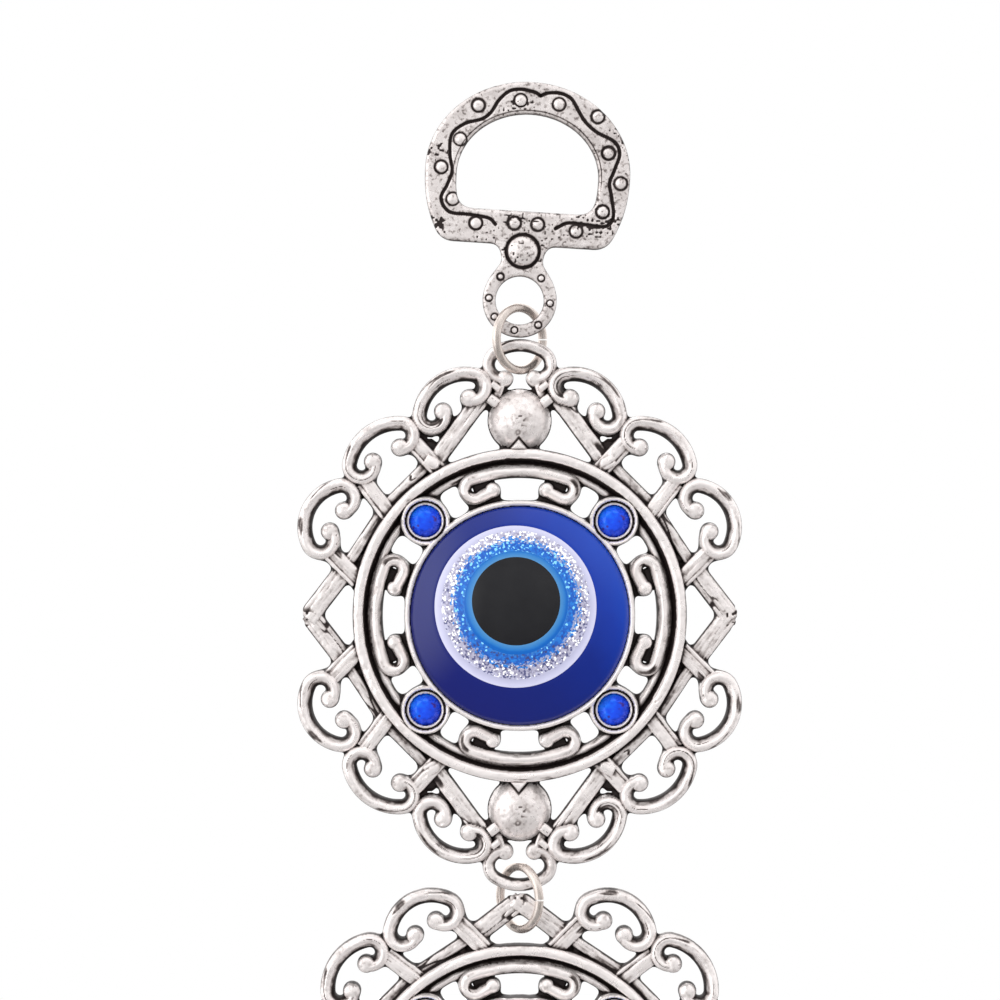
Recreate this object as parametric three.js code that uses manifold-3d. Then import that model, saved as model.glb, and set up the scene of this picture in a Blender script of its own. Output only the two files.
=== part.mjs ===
// Evil eye wall ornament: a cast D-shaped hanger, two cast filigree medallions with glazed eyes and
// set stones, and the two wire jump rings that link them. Millimetres, +Z up, front towards -Y.
// The origin is the point where a nail or hook carries the hanger.
import * as THREE from 'three';
import { mergeVertices } from 'three/addons/utils/BufferGeometryUtils.js';
import Module from 'manifold-3d';

const wasm = await Module();
wasm.setup();

// ---- driving dimensions ----------------------------------------------------------------------
const fit = 0.05;              // clearance between bonded pieces
const roundSides = 30;         // facets of the large rounds
const eyeSides = 24;           // facets of the eye's own rounds
const clear = 9;               // height that clears every face, for cutters

const hanger = {
  thickness: 1.4,
  outerHalfWidth: 11.5,
  outerTop: 3.6,               // above the top of the opening
  shoulderDrop: 6.6,           // widest level, below the top of the opening
  cornerX: 9.35,               // where the lines of the foot and the flank would meet
  cornerRun: 1.55,             // how far the rounded corner reaches along both lines
  flankAngle: 64,
  flankRun: 2.2,
  hipDrop: 9.4,
  bottomDrop: 14.7,
  openHalfWidth: 7.95,
  openShoulder: 7.0,
  openHipDrop: 9.9,
  openFootPull: 7.6,
  openFootHalf: 5.6,
  openBottom: 10.9,
  neckTopHalf: 3.7,
  neckHalf: 2.3,
  neckDrop: 16.9,
  bossDrop: 15.4,
  bossRadius: 1.75,
  bossRise: 1.0,
  loopDrop: 20.9,
  loopRadius: 4.15,
  loopHole: 2.7,
  beadRadius: 0.62,
  beadRise: 0.4,
  loopBeads: 7,
  loopBeadRadius: 0.36,
};

// Beads of the D, as angle and distance about the middle of its widest level. They stand in turn
// on either side of the wavy line of the band.
const beadPlaces = [
  [130, 9.3], [99, 8.1], [69, 8.4], [42, 10.05], [17, 9.25], [-3, 10.5], [-24, 9.5],
  [-47, 8.5], [-75, 5.9], [-101, 5.8], [-132, 8.1], [-157, 8.9], [180, 9.7], [157, 8.4],
];

const ring = {
  wire: 1.0,
  middleRadius: 3.5,
  slit: 2.5,                   // degrees of the cut through the wire
  sides: 7,
  steps: 28,
  upperSkew: 42,               // turn of each ring out of the face plane
  lowerSkew: -52,
};

const frame = {
  rimRadius: 18.7,
  rimInner: 17.35,
  rimHeight: 2.8,
  ledgeInner: 16.2,
  ledgeHeight: 1.4,
  scrollWidth: 1.6,
  scrollHeight: 2.4,
  endScrollWidth: 1.4,
  endScrollHeight: 1.6,
  innerScrollWidth: 1.5,
  innerScrollHeight: 2.3,
  longBarWidth: 1.95,
  barRaise: 0.4,               // the lattice stands clear of the flat back
  longBarHeight: 1.3,
  hiddenBarWidth: 1.25,
  hiddenBarHeight: 1.1,
  crossBarWidth: 2.0,
  crossBarHeight: 1.8,
  chevronTip: 24.3,
  chevronWidth: 1.95,
  chevronHeight: 1.0,
  chevronAngle: 52.5,
  chevronLength: 7.4,
  ballDistance: 21.8,
  ballRadius: 3.5,
  ballHeight: 3.3,
  endScrollTop: 30.25,
};

// Each outer scroll bows outwards round its middle and curls inwards at both ends. The bow's
// middle is given by its distance and direction from the medallion's centre, in the upper left.
const outerScrolls = [
  {
    distance: 22.65, direction: 105.5, bow: 5.2, facing: 118,
    upper: 40, lower: 54, curl: 1.35, upperCurl: 186, lowerCurl: 208,
  },
  {
    distance: 20.9, direction: 130.5, bow: 5.6, facing: 123,
    upper: 36, lower: 45, curl: 1.35, upperCurl: 180, lowerCurl: 210,
  },
  {
    distance: 21.75, direction: 153.0, bow: 4.7, facing: 154,
    upper: 53, lower: 52, curl: 1.42, upperCurl: 178, lowerCurl: 196,
  },
];
const curlStep = 46;           // degrees of curl in one facet
const bowStep = 32;

const bezel = { outer: 12.9, inner: 12.25, height: 3.5, floor: 1.0, sides: roundSides };
const cup = { distance: 14.9, outer: 2.75, inner: 1.95, height: 3.0, floor: 1.3, sides: 14 };
const stone = { radius: 1.85, table: 1.1, girdle: 0.5, rise: 1.1 };

const eye = {
  radius: bezel.inner - fit,
  base: bezel.floor + 0.3,
  edge: 3.2,                   // height of the dome at the bezel
  top: 6.0,                    // height of the dome at its middle
  seat: 2.9,                   // floor of the recess that holds the coloured rings
  shiftX: -0.3,
  shiftY: 0.85,
  pupilShiftY: 1.2,
  whiteRadius: 9.0,
  glitterRadius: 8.35,
  azureRadius: 6.95,
  skyRadius: 5.8,
  pupilRadius: 4.95,
  adhesiveRadius: 11,
};

// how the pieces hang below one another, each balanced under its pivot
const hang = {
  castBack: 1.27,              // flat back of a medallion, behind the hanging plane
  ringBack: 0.2,               // middle of the rings and of the hanger, behind the same plane
  hangerLean: -3.6,
  ringDrop: 25.15,             // carrying point to the middle of the first ring
  upperScrollDrop: 30.95,      // first ring to the middle of the upper medallion
  lowerScrollDrop: 31.65,      // middle of the upper medallion to the second ring
  chevronDrop: 23.85,          // second ring to the middle of the lower medallion
};

// ---- materials -------------------------------------------------------------------------------
function finish(color, metalness, roughness) {
  return new THREE.MeshStandardMaterial({ color, metalness, roughness });
}

const antiqueSilver = finish(0xcfc9c6, 1.0, 0.38);
const wireNickel = finish(0xd8cfc0, 1.0, 0.25);
const cobaltGlass = finish(0x1226a8, 0.0, 0.08);
const whiteGlaze = finish(0xe9e6f6, 0.0, 0.15);
const silverGlitter = finish(0xc9cad8, 0.3, 0.3);
const azureGlitter = finish(0x1f86e0, 0.2, 0.3);
const skyGlaze = finish(0x4d9fe0, 0.0, 0.12);
const blackGlaze = finish(0x101014, 0.0, 0.06);
const sapphireStone = finish(0x1f3fe8, 0.1, 0.05);
const epoxy = finish(0xd9d4c4, 0.0, 0.5);

// ---- solids ----------------------------------------------------------------------------------
const degrees = THREE.MathUtils.degToRad;
const point = (x, y) => new THREE.Vector2(x, y);

function solid(geometry) {
  const bare = geometry.clone();
  bare.deleteAttribute('normal');
  bare.deleteAttribute('uv');
  const merged = mergeVertices(bare, 1e-4);
  const corners = merged.index.array;
  const kept = [];
  for (let i = 0; i < corners.length; i += 3) {
    const [a, b, c] = corners.slice(i, i + 3);
    if (a !== b && b !== c && c !== a) kept.push(a, b, c);
  }
  const vertProperties = new Float32Array(merged.attributes.position.array);
  return new wasm.Manifold(new wasm.Mesh({ numProp: 3, vertProperties, triVerts: new Uint32Array(kept) }));
}

function geometryOf(body) {
  const { vertProperties, triVerts } = body.getMesh();
  const geometry = new THREE.BufferGeometry();
  geometry.setAttribute('position', new THREE.BufferAttribute(new Float32Array(vertProperties), 3));
  geometry.setIndex(new THREE.BufferAttribute(new Uint32Array(triVerts), 1));
  geometry.computeVertexNormals();
  return geometry;
}

const joined = (solids) => solids.reduce((all, one) => all.add(one));

// A flat piece cut from a shape, lying between two heights above the flat back.
function plate(shape, low, high, curveSegments = 12) {
  const options = { depth: high - low, bevelEnabled: false, curveSegments };
  const geometry = new THREE.ExtrudeGeometry(shape, options);
  return solid(geometry.translate(0, 0, low));
}

// A turned piece: its profile is given as radius and height, from the axis or closed on itself.
function turned(profile, sides = roundSides) {
  const points = profile.map(([radius, height]) => point(radius, height));
  return solid(new THREE.LatheGeometry(points, sides).rotateX(Math.PI / 2));
}

// Section of a cast stroke: flat back, upright flanks and a ridged crown. The sweep lays the
// section's x downwards from the back plane and its y across the stroke.
function strokeSection(width, height) {
  const half = width / 2;
  const flank = height * 0.65;
  return new THREE.Shape([
    point(-flank, -half), point(-height, 0), point(-flank, half), point(0, half), point(0, -half),
  ]);
}

// A line made of straight and round stretches. Its steps follow the stretches, not the length.
class StrokeLine extends THREE.Curve {
  constructor(startX, startY, heading, stretches) {
    super();
    this.stretches = [];
    this.steps = 0;
    let at = { x: startX, y: startY, heading: degrees(heading) };
    for (const { length = 0, radius = 0, turn = 0, steps = 1 } of stretches) {
      const stretch = { ...at, length, radius, turn: degrees(turn), steps, first: this.steps };
      this.stretches.push(stretch);
      this.steps += steps;
      at = this.follow(stretch, 1);
    }
  }

  follow({ x, y, heading, length, radius, turn }, share) {
    if (!turn) {
      const gone = length * share;
      return { x: x + gone * Math.cos(heading), y: y + gone * Math.sin(heading), heading };
    }
    const side = Math.sign(turn) * radius;
    const later = heading + turn * share;
    return {
      x: x + side * (Math.sin(later) - Math.sin(heading)),
      y: y - side * (Math.cos(later) - Math.cos(heading)),
      heading: later,
    };
  }

  getPoint(t, target = new THREE.Vector3()) {
    const step = t * this.steps;
    const stretch = this.stretches.findLast((one) => one.first <= step) ?? this.stretches[0];
    const { x, y } = this.follow(stretch, (step - stretch.first) / stretch.steps);
    return target.set(x, y, 0);
  }

  getUtoTmapping(u) {
    return u;
  }
}

function stroke(line, width, height) {
  const options = { steps: line.steps, extrudePath: line, bevelEnabled: false };
  return solid(new THREE.ExtrudeGeometry(strokeSection(width, height), options));
}

function bar([fromX, fromY], [toX, toY], width, low, high) {
  const length = Math.hypot(toX - fromX, toY - fromY);
  const block = new THREE.BoxGeometry(length, width, high - low);
  block.rotateZ(Math.atan2(toY - fromY, toX - fromX));
  return solid(block.translate((fromX + toX) / 2, (fromY + toY) / 2, (low + high) / 2));
}

const mirrored = (body, signX, signY) => body.scale([signX, signY, 1]);

// ---- medallion casting -----------------------------------------------------------------------
const stepsFor = (turn, step) => Math.ceil(Math.abs(turn) / step);

function outerScroll({ distance, direction, bow, facing, upper, lower, curl, upperCurl, lowerCurl }) {
  const middleX = distance * Math.cos(degrees(direction));
  const middleY = distance * Math.sin(degrees(direction));
  const bowStart = facing - upper;
  const hookX = middleX + (bow - curl) * Math.cos(degrees(bowStart));
  const hookY = middleY + (bow - curl) * Math.sin(degrees(bowStart));
  const startAngle = bowStart - upperCurl;
  const startX = hookX + curl * Math.cos(degrees(startAngle));
  const startY = hookY + curl * Math.sin(degrees(startAngle));
  const line = new StrokeLine(startX, startY, startAngle + 90, [
    { radius: curl, turn: upperCurl, steps: stepsFor(upperCurl, curlStep) },
    { radius: bow, turn: upper + lower, steps: stepsFor(upper + lower, bowStep) },
    { radius: curl, turn: lowerCurl, steps: stepsFor(lowerCurl, curlStep) },
  ]);
  return stroke(line, frame.scrollWidth, frame.scrollHeight);
}

// The scroll at either end of the medallion's axis, which carries a jump ring.
function endScroll() {
  const crown = { radius: 5.0, turn: 33 };
  const curl = { radius: 1.6, turn: 155 };
  const startAngle = 90 - crown.turn - curl.turn;
  const apart = crown.radius - curl.radius;
  const curlX = apart * Math.cos(degrees(90 - crown.turn));
  const curlY = frame.endScrollTop - crown.radius + apart * Math.sin(degrees(90 - crown.turn));
  const startX = curlX + curl.radius * Math.cos(degrees(startAngle));
  const startY = curlY + curl.radius * Math.sin(degrees(startAngle));
  const line = new StrokeLine(startX, startY, startAngle + 90, [
    { ...curl, steps: 4 },
    { radius: crown.radius, turn: 2 * crown.turn, steps: 4 },
    { ...curl, steps: 4 },
  ]);
  return stroke(line, frame.endScrollWidth, frame.endScrollHeight);
}

// A flat C between the bezel and the rim, with hooked ends.
function innerScroll() {
  const bow = { radius: 15.8, turn: 20.5 };
  const curl = { radius: 1.35, turn: 180 };
  const tail = 2.0;
  const startAngle = 90 - bow.turn - curl.turn;
  const apart = bow.radius - curl.radius;
  const curlX = apart * Math.cos(degrees(90 - bow.turn));
  const curlY = apart * Math.sin(degrees(90 - bow.turn));
  const heading = startAngle + 90;
  const startX = curlX + curl.radius * Math.cos(degrees(startAngle)) - tail * Math.cos(degrees(heading));
  const startY = curlY + curl.radius * Math.sin(degrees(startAngle)) - tail * Math.sin(degrees(heading));
  const line = new StrokeLine(startX, startY, heading, [
    { length: tail },
    { ...curl, steps: 4 },
    { radius: bow.radius, turn: 2 * bow.turn, steps: 4 },
    { ...curl, steps: 4 },
    { length: tail },
  ]);
  return stroke(line, frame.innerScrollWidth, frame.innerScrollHeight);
}

// Lattice bars of one quadrant, drawn for the upper left.
function latticeBars() {
  const low = frame.barRaise;
  const long = (from, to) => bar(from, to, frame.longBarWidth, low, low + frame.longBarHeight);
  const hidden = (from, to) => bar(from, to, frame.hiddenBarWidth, low, low + frame.hiddenBarHeight);
  const cross = (from, to) => bar(from, to, frame.crossBarWidth, low, low + frame.crossBarHeight);
  return [
    long([-4.4, 24.2], [-9.5, 17.2]),
    hidden([-10.2, 17.0], [-14.9, 12.4]),
    hidden([-15.6, 11.3], [-19.3, 5.7]),
    cross([-11.9, 19.3], [-8.8, 16.0]),
    cross([-17.3, 14.8], [-14.5, 11.0]),
    cross([-21.3, 7.0], [-18.1, 3.8]),
  ];
}

// The V at either side, where the lattice comes to a point.
function chevron() {
  const { chevronTip: tip, chevronWidth: width, chevronAngle: angle, chevronLength: length } = frame;
  const alongX = length * Math.cos(degrees(angle));
  const alongY = length * Math.sin(degrees(angle));
  const inner = tip - width / Math.sin(degrees(angle));
  const outline = [
    point(-tip, 0), point(-tip + alongX, -alongY), point(-inner + alongX, -alongY),
    point(-inner, 0), point(-inner + alongX, alongY), point(-tip + alongX, alongY),
  ];
  return plate(new THREE.Shape(outline), frame.barRaise, frame.barRaise + frame.chevronHeight);
}

function halfBall() {
  const profile = [[0, 0]];
  const levels = 3;
  for (let i = 0; i <= levels; i += 1) {
    const rise = (i / levels) * Math.PI / 2;
    profile.push([frame.ballRadius * Math.cos(rise), frame.ballHeight * Math.sin(rise)]);
  }
  return turned(profile, 14).translate([0, frame.ballDistance, 0]);
}

// Small links between the half ball, the end scroll and the first outer scroll.
function ballLinks() {
  const links = [];
  for (const side of [-1, 1]) {
    links.push(bar([side * 1.9, 26.4], [side * 2.9, 23.2], 1.1, 0.2, 1.6));
    links.push(bar([side * 2.1, 23.0], [side * 4.2, 25.2], 1.3, 0.2, 2.0));
  }
  return links;
}

function openCup({ outer, inner, height, floor, sides }) {
  const profile = [[0, 0], [outer, 0], [outer, height], [inner, height], [inner, floor], [0, floor]];
  return turned(profile, sides);
}

const cutter = (radius, low, sides) => turned([[0, low], [radius, low], [radius, clear], [0, clear]], sides);

const cupAngles = [135, 45, 225, 315];

function cupPlace(angle) {
  return [cup.distance * Math.cos(degrees(angle)), cup.distance * Math.sin(degrees(angle))];
}


function medallionCasting() {
  const quadrant = joined([...outerScrolls.map(outerScroll), ...latticeBars()]);
  const { rimRadius, rimInner, rimHeight, ledgeInner, ledgeHeight } = frame;
  const rim = turned([
    [ledgeInner, 0], [rimRadius, 0], [rimRadius, rimHeight], [rimInner, rimHeight],
    [rimInner, ledgeHeight], [ledgeInner, ledgeHeight], [ledgeInner, 0],
  ]);
  const pieces = [rim];
  for (const signX of [1, -1]) {
    for (const signY of [1, -1]) pieces.push(mirrored(quadrant, signX, signY));
    pieces.push(mirrored(chevron(), signX, 1));
  }
  const axisPieces = joined([endScroll(), halfBall(), ...ballLinks()]);
  for (const signY of [1, -1]) pieces.push(mirrored(axisPieces, 1, signY));
  for (const quarter of [0, 90, 180, 270]) pieces.push(innerScroll().rotate([0, 0, quarter]));
  const atCups = (body) => cupAngles.map((angle) => body.translate([...cupPlace(angle), 0]));
  const wells = [
    cutter(bezel.inner, bezel.floor, bezel.sides),
    ...atCups(cutter(cup.inner, cup.floor, cup.sides)),
  ];
  return joined([...pieces, openCup(bezel), ...atCups(openCup(cup))]).subtract(joined(wells));
}

// ---- eye and stones --------------------------------------------------------------------------
function eyeDome(radius) {
  const profile = [[0, eye.base], [radius, eye.base], [radius, eye.edge]];
  const levels = 3;
  const sphere = (eye.radius ** 2 + (eye.top - eye.edge) ** 2) / (2 * (eye.top - eye.edge));
  for (let i = levels - 1; i >= 0; i -= 1) {
    const at = (eye.radius * i) / levels;
    profile.push([at, eye.top - sphere + Math.sqrt(sphere ** 2 - at ** 2)]);
  }
  return turned(profile, bezel.sides);
}

// A ring set into the recess of the dome and rounded off with it.
function eyeRing(inner, outer, innerShiftY, outerShiftY) {
  const disc = (radius, shiftY, low) => cutter(radius, low, eyeSides).translate([eye.shiftX, shiftY, 0]);
  const whole = eyeDome(eye.radius).intersect(disc(outer - fit, outerShiftY, eye.seat));
  return inner ? whole.subtract(disc(inner, innerShiftY, 0)) : whole;
}

function glassBase() {
  const recess = cutter(eye.whiteRadius, eye.seat - fit, eyeSides);
  return eyeDome(eye.radius).subtract(recess.translate([eye.shiftX, eye.shiftY, 0]));
}

function adhesiveDisc() {
  const low = bezel.floor + fit;
  const high = eye.base - fit;
  return turned([[0, low], [eye.adhesiveRadius, low], [eye.adhesiveRadius, high], [0, high]], 20);
}

function eyePieces() {
  const { shiftY, pupilShiftY, whiteRadius, glitterRadius, azureRadius, skyRadius, pupilRadius } = eye;
  return [
    ['eye_adhesive', adhesiveDisc(), epoxy],
    ['eye_glass_base', glassBase(), cobaltGlass],
    ['eye_white_ring', eyeRing(glitterRadius, whiteRadius, shiftY, shiftY), whiteGlaze],
    ['eye_glitter_ring', eyeRing(azureRadius, glitterRadius, shiftY, shiftY), silverGlitter],
    ['eye_azure_ring', eyeRing(skyRadius, azureRadius, shiftY, shiftY), azureGlitter],
    ['eye_sky_ring', eyeRing(pupilRadius, skyRadius, pupilShiftY, shiftY), skyGlaze],
    ['eye_pupil', eyeRing(0, pupilRadius, 0, pupilShiftY), blackGlaze],
  ];
}

function cutStone() {
  const low = cup.floor + fit;
  const { radius, table, girdle, rise } = stone;
  return turned([[0, low], [radius, low], [radius, low + girdle], [table, low + rise], [0, low + rise]], 12);
}

function medallion(name, casting) {
  const group = new THREE.Group();
  const add = (suffix, body, material) => {
    const mesh = new THREE.Mesh(geometryOf(body), material);
    mesh.name = `${name}_${suffix}`;
    group.add(mesh);
    return mesh;
  };
  add('frame', casting, antiqueSilver);
  for (const [suffix, body, material] of eyePieces()) add(suffix, body, material);
  cupAngles.forEach((angle, index) => {
    const [x, y] = cupPlace(angle);
    add(`stone_${index + 1}`, cutStone(), sapphireStone).position.set(x, y, 0);
  });
  return group;
}

// ---- hanger ----------------------------------------------------------------------------------
// Its own origin is the top of the D opening.
// Both outlines start at the left shoulder, run round the foot and close over the bow.
function dOutline() {
  const { outerHalfWidth: wide, shoulderDrop, hipDrop, cornerX, cornerRun, bottomDrop } = hanger;
  const alongX = Math.cos(degrees(hanger.flankAngle));
  const alongY = Math.sin(degrees(hanger.flankAngle));
  const lowX = cornerX + cornerRun * alongX;
  const lowY = cornerRun * alongY - bottomDrop;
  const pullX = lowX + hanger.flankRun * alongX;
  const pullY = lowY + hanger.flankRun * alongY;
  const shape = new THREE.Shape();
  shape.moveTo(-wide, -shoulderDrop);
  shape.bezierCurveTo(-wide, -hipDrop, -pullX, pullY, -lowX, lowY);
  shape.quadraticCurveTo(-cornerX, -bottomDrop, cornerRun - cornerX, -bottomDrop);
  shape.lineTo(cornerX - cornerRun, -bottomDrop);
  shape.quadraticCurveTo(cornerX, -bottomDrop, lowX, lowY);
  shape.bezierCurveTo(pullX, pullY, wide, -hipDrop, wide, -shoulderDrop);
  shape.absellipse(0, -shoulderDrop, wide, hanger.outerTop + shoulderDrop, 0, Math.PI, false);
  return shape;
}

function dOpening() {
  const { openHalfWidth: wide, openShoulder, openHipDrop: hip, openBottom: foot } = hanger;
  const { openFootHalf: half, openFootPull: pull } = hanger;
  const shape = new THREE.Shape();
  shape.moveTo(-wide, -openShoulder);
  shape.bezierCurveTo(-wide, -hip, -pull, -foot, -half, -foot);
  shape.lineTo(half, -foot);
  shape.bezierCurveTo(pull, -foot, wide, -hip, wide, -openShoulder);
  shape.absellipse(0, -openShoulder, wide, openShoulder, 0, Math.PI, false);
  return shape;
}

function neckOutline() {
  const { neckTopHalf: wide, neckHalf: narrow, neckDrop, bottomDrop, loopDrop } = hanger;
  const flare = narrow + 0.6;
  const loopTop = 2 - loopDrop;
  const shape = new THREE.Shape();
  shape.moveTo(-wide, 0.5 - bottomDrop);
  shape.lineTo(-wide, -bottomDrop);
  shape.quadraticCurveTo(-narrow, -bottomDrop, -narrow, -neckDrop);
  shape.lineTo(-flare, loopTop);
  shape.lineTo(flare, loopTop);
  shape.lineTo(narrow, -neckDrop);
  shape.quadraticCurveTo(narrow, -bottomDrop, wide, -bottomDrop);
  shape.lineTo(wide, 0.5 - bottomDrop);
  return shape;
}

// A low round bead standing on the face of the hanger.
function bead(x, y, radius, rise) {
  const top = hanger.thickness;
  const sunk = top - rise;
  return turned([[0, sunk], [radius, sunk], [radius, top], [0, top + rise]], 7).translate([x, y, 0]);
}

function beads() {
  const h = hanger;
  const solids = [];
  for (const [angle, distance] of beadPlaces) {
    const x = distance * Math.cos(degrees(angle));
    const y = distance * Math.sin(degrees(angle)) - h.shoulderDrop;
    solids.push(bead(x, y, h.beadRadius, h.beadRise));
  }
  const loopMiddle = (h.loopRadius + h.loopHole) / 2;
  const loopSpan = 260;
  for (let i = 0; i < h.loopBeads; i += 1) {
    const angle = degrees(loopSpan * (i / (h.loopBeads - 1) - 0.5) - 90);
    const x = loopMiddle * Math.cos(angle);
    const y = loopMiddle * Math.sin(angle) - h.loopDrop;
    solids.push(bead(x, y, h.loopBeadRadius, h.beadRise / 2));
  }
  return solids;
}

function boss() {
  const { bossRadius: radius, bossRise: rise, bossDrop, thickness: top } = hanger;
  const shoulder = [radius * 0.75, top + rise * 0.7];
  return turned([[0, 0.5], [radius, 0.5], [radius, top], shoulder, [0, top + rise]], 14)
    .translate([0, -bossDrop, 0]);
}

function hangerCasting() {
  const { thickness, loopRadius, loopHole, loopDrop } = hanger;
  const body = plate(dOutline(), 0, thickness, 9);
  const neck = plate(neckOutline(), 0, thickness, 4);
  const loop = turned([[0, 0], [loopRadius, 0], [loopRadius, thickness], [0, thickness]], 28);
  const opening = plate(dOpening(), -1, clear, 9);
  const hole = cutter(loopHole, -1, eyeSides).translate([0, -loopDrop, 0]);
  const all = joined([body, neck, loop.translate([0, -loopDrop, 0]), boss(), ...beads()]);
  return all.subtract(opening).subtract(hole);
}

// ---- jump rings ------------------------------------------------------------------------------
class RingLine extends THREE.Curve {
  getPoint(t, target = new THREE.Vector3()) {
    const start = ring.slit / 2;
    const angle = degrees(start + t * (360 - ring.slit));
    return target.set(ring.middleRadius * Math.cos(angle), ring.middleRadius * Math.sin(angle), 0);
  }
}

function jumpRing(name) {
  const corners = [];
  for (let i = 0; i < ring.sides; i += 1) {
    const angle = (i + 0.5) * 2 * Math.PI / ring.sides;
    corners.push(point(ring.wire / 2 * Math.cos(angle), ring.wire / 2 * Math.sin(angle)));
  }
  const options = { steps: ring.steps, extrudePath: new RingLine(), bevelEnabled: false };
  const wire = solid(new THREE.ExtrudeGeometry(new THREE.Shape(corners), options));
  const mesh = new THREE.Mesh(geometryOf(wire), wireNickel);
  mesh.name = name;
  return mesh;
}

// ---- assembly --------------------------------------------------------------------------------
// Every piece is drawn in its face plane, x to the right, y up and z to the front, and stood
// upright facing -Y.
function upright(object, x, z, lean, back) {
  const holder = new THREE.Group();
  object.rotation.z = degrees(lean);
  object.position.z = -back;
  holder.add(object);
  holder.rotation.x = Math.PI / 2;
  holder.position.set(x, 0, z);
  return holder;
}

// The hanger leans, so that it is carried at a point of the bow straight above its loop.
function hangerPlaced() {
  const mesh = new THREE.Mesh(geometryOf(hangerCasting()), antiqueSilver);
  mesh.name = 'hanger';
  const lean = degrees(hang.hangerLean);
  const topX = -hanger.loopDrop * Math.sin(lean);
  const share = topX / hanger.openHalfWidth;
  const topZ = hanger.openShoulder * (1 - Math.sqrt(1 - share ** 2)) + topX * Math.sin(lean);
  return upright(mesh, topX, topZ, hang.hangerLean, hanger.thickness / 2 + hang.ringBack);
}

function ringPlaced(name, z, skew) {
  const mesh = jumpRing(name);
  mesh.rotation.y = degrees(skew);
  return upright(mesh, 0, z, 0, hang.ringBack);
}

const upperRingZ = -hang.ringDrop;
const upperZ = upperRingZ - hang.upperScrollDrop;
const lowerRingZ = upperZ - hang.lowerScrollDrop;
const lowerZ = lowerRingZ - hang.chevronDrop;
const quarterTurn = -90;
const casting = medallionCasting();

const ornament = new THREE.Group();
ornament.add(hangerPlaced());
ornament.add(ringPlaced('upper_jump_ring', upperRingZ, ring.upperSkew));
ornament.add(upright(medallion('upper', casting), 0, upperZ, 0, hang.castBack));
ornament.add(ringPlaced('lower_jump_ring', lowerRingZ, ring.lowerSkew));
ornament.add(upright(medallion('lower', casting), 0, lowerZ, quarterTurn, hang.castBack));

export default ornament;
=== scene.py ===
import math
import bpy
import numpy as np
from mathutils import Matrix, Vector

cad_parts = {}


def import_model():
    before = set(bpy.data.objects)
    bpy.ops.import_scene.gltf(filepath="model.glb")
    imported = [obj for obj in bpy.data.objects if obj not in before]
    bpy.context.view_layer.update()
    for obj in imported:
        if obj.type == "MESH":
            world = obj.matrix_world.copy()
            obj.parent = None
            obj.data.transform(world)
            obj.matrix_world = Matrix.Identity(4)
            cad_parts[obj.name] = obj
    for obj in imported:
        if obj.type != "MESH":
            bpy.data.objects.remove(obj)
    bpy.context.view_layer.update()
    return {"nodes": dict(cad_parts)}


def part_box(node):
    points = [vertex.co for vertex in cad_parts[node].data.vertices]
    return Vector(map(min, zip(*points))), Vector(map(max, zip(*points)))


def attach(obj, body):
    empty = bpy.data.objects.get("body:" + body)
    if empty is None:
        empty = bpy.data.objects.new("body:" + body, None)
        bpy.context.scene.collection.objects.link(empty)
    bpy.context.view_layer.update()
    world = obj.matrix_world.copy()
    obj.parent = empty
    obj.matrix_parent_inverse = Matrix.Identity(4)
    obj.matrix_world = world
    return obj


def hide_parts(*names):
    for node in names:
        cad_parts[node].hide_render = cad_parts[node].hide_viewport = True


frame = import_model()

# Shapes are drawn in millimetres in each piece's own face plane: x to the right, y up, z from the
# flat back towards the viewer. They are stood upright in metres, facing -Y.
MM = 0.001

# ---- sizes, as in the frame --------------------------------------------------------------------
HANGER = {
    "thickness": 1.4, "outer_half": 11.5, "outer_top": 3.6, "shoulder": 6.6, "corner_x": 9.35,
    "corner_run": 1.55, "flank_angle": 64, "flank_run": 2.2, "hip": 9.4, "bottom": 14.7,
    "open_half": 7.95, "open_shoulder": 7.0, "open_hip": 9.9, "open_pull": 7.6, "open_foot": 5.6,
    "open_bottom": 10.9, "neck_top": 3.7, "neck_half": 2.3, "neck_drop": 16.9, "boss_drop": 15.4,
    "boss_radius": 1.75, "loop_drop": 20.9, "loop_radius": 4.15, "loop_hole": 2.7, "lean": -3.6, "back": 0.9,
}
RING = {"wire": 0.5, "radius": 3.5, "slit": 2.5, "back": 0.2}
RIM = {"outer": 18.7, "shoulder": 17.65, "ledge_top": 17.25, "inner": 16.2, "height": 2.8, "ledge": 1.4}
BEZEL = {"outer": 12.9, "inner": 12.25, "height": 3.5, "floor": 1.0}
CUP = {"distance": 14.9, "outer": 2.75, "inner": 1.95, "height": 3.0, "floor": 1.3}
STONE = {"radius": 1.8, "low": 1.35, "girdle": 1.75, "shoulder": 2.2, "top": 2.5}
EYE = {"radius": 12.2, "base": 1.3, "edge": 3.2, "top": 6.0, "seat": 2.9}
EYE_CENTRE = (-0.48, 1.05)
FLAKE_CENTRE = (-0.45, 1.25)
AZURE_CENTRE = (-0.41, 1.50)
PUPIL_CENTRE = (-0.42, 1.68)
BALL = {"distance": 21.8, "radius": 3.6, "height": 3.3}
WIRE_HOLLOW = (1.25, 27.35)    # hollow of the back beside a ring's hole, mirrored to four places


# ---- helpers -----------------------------------------------------------------------------------
def polar(radius, angle):
    """A point at an angle in degrees."""
    return radius * math.cos(math.radians(angle)), radius * math.sin(math.radians(angle))


def smooth_step(low, high, value):
    """Rises smoothly from 0 at low to 1 at high, or falls if high is the smaller."""
    share = np.clip((value - low) / (high - low), 0.0, 1.0)
    return share * share * (3.0 - 2.0 * share)


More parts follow.
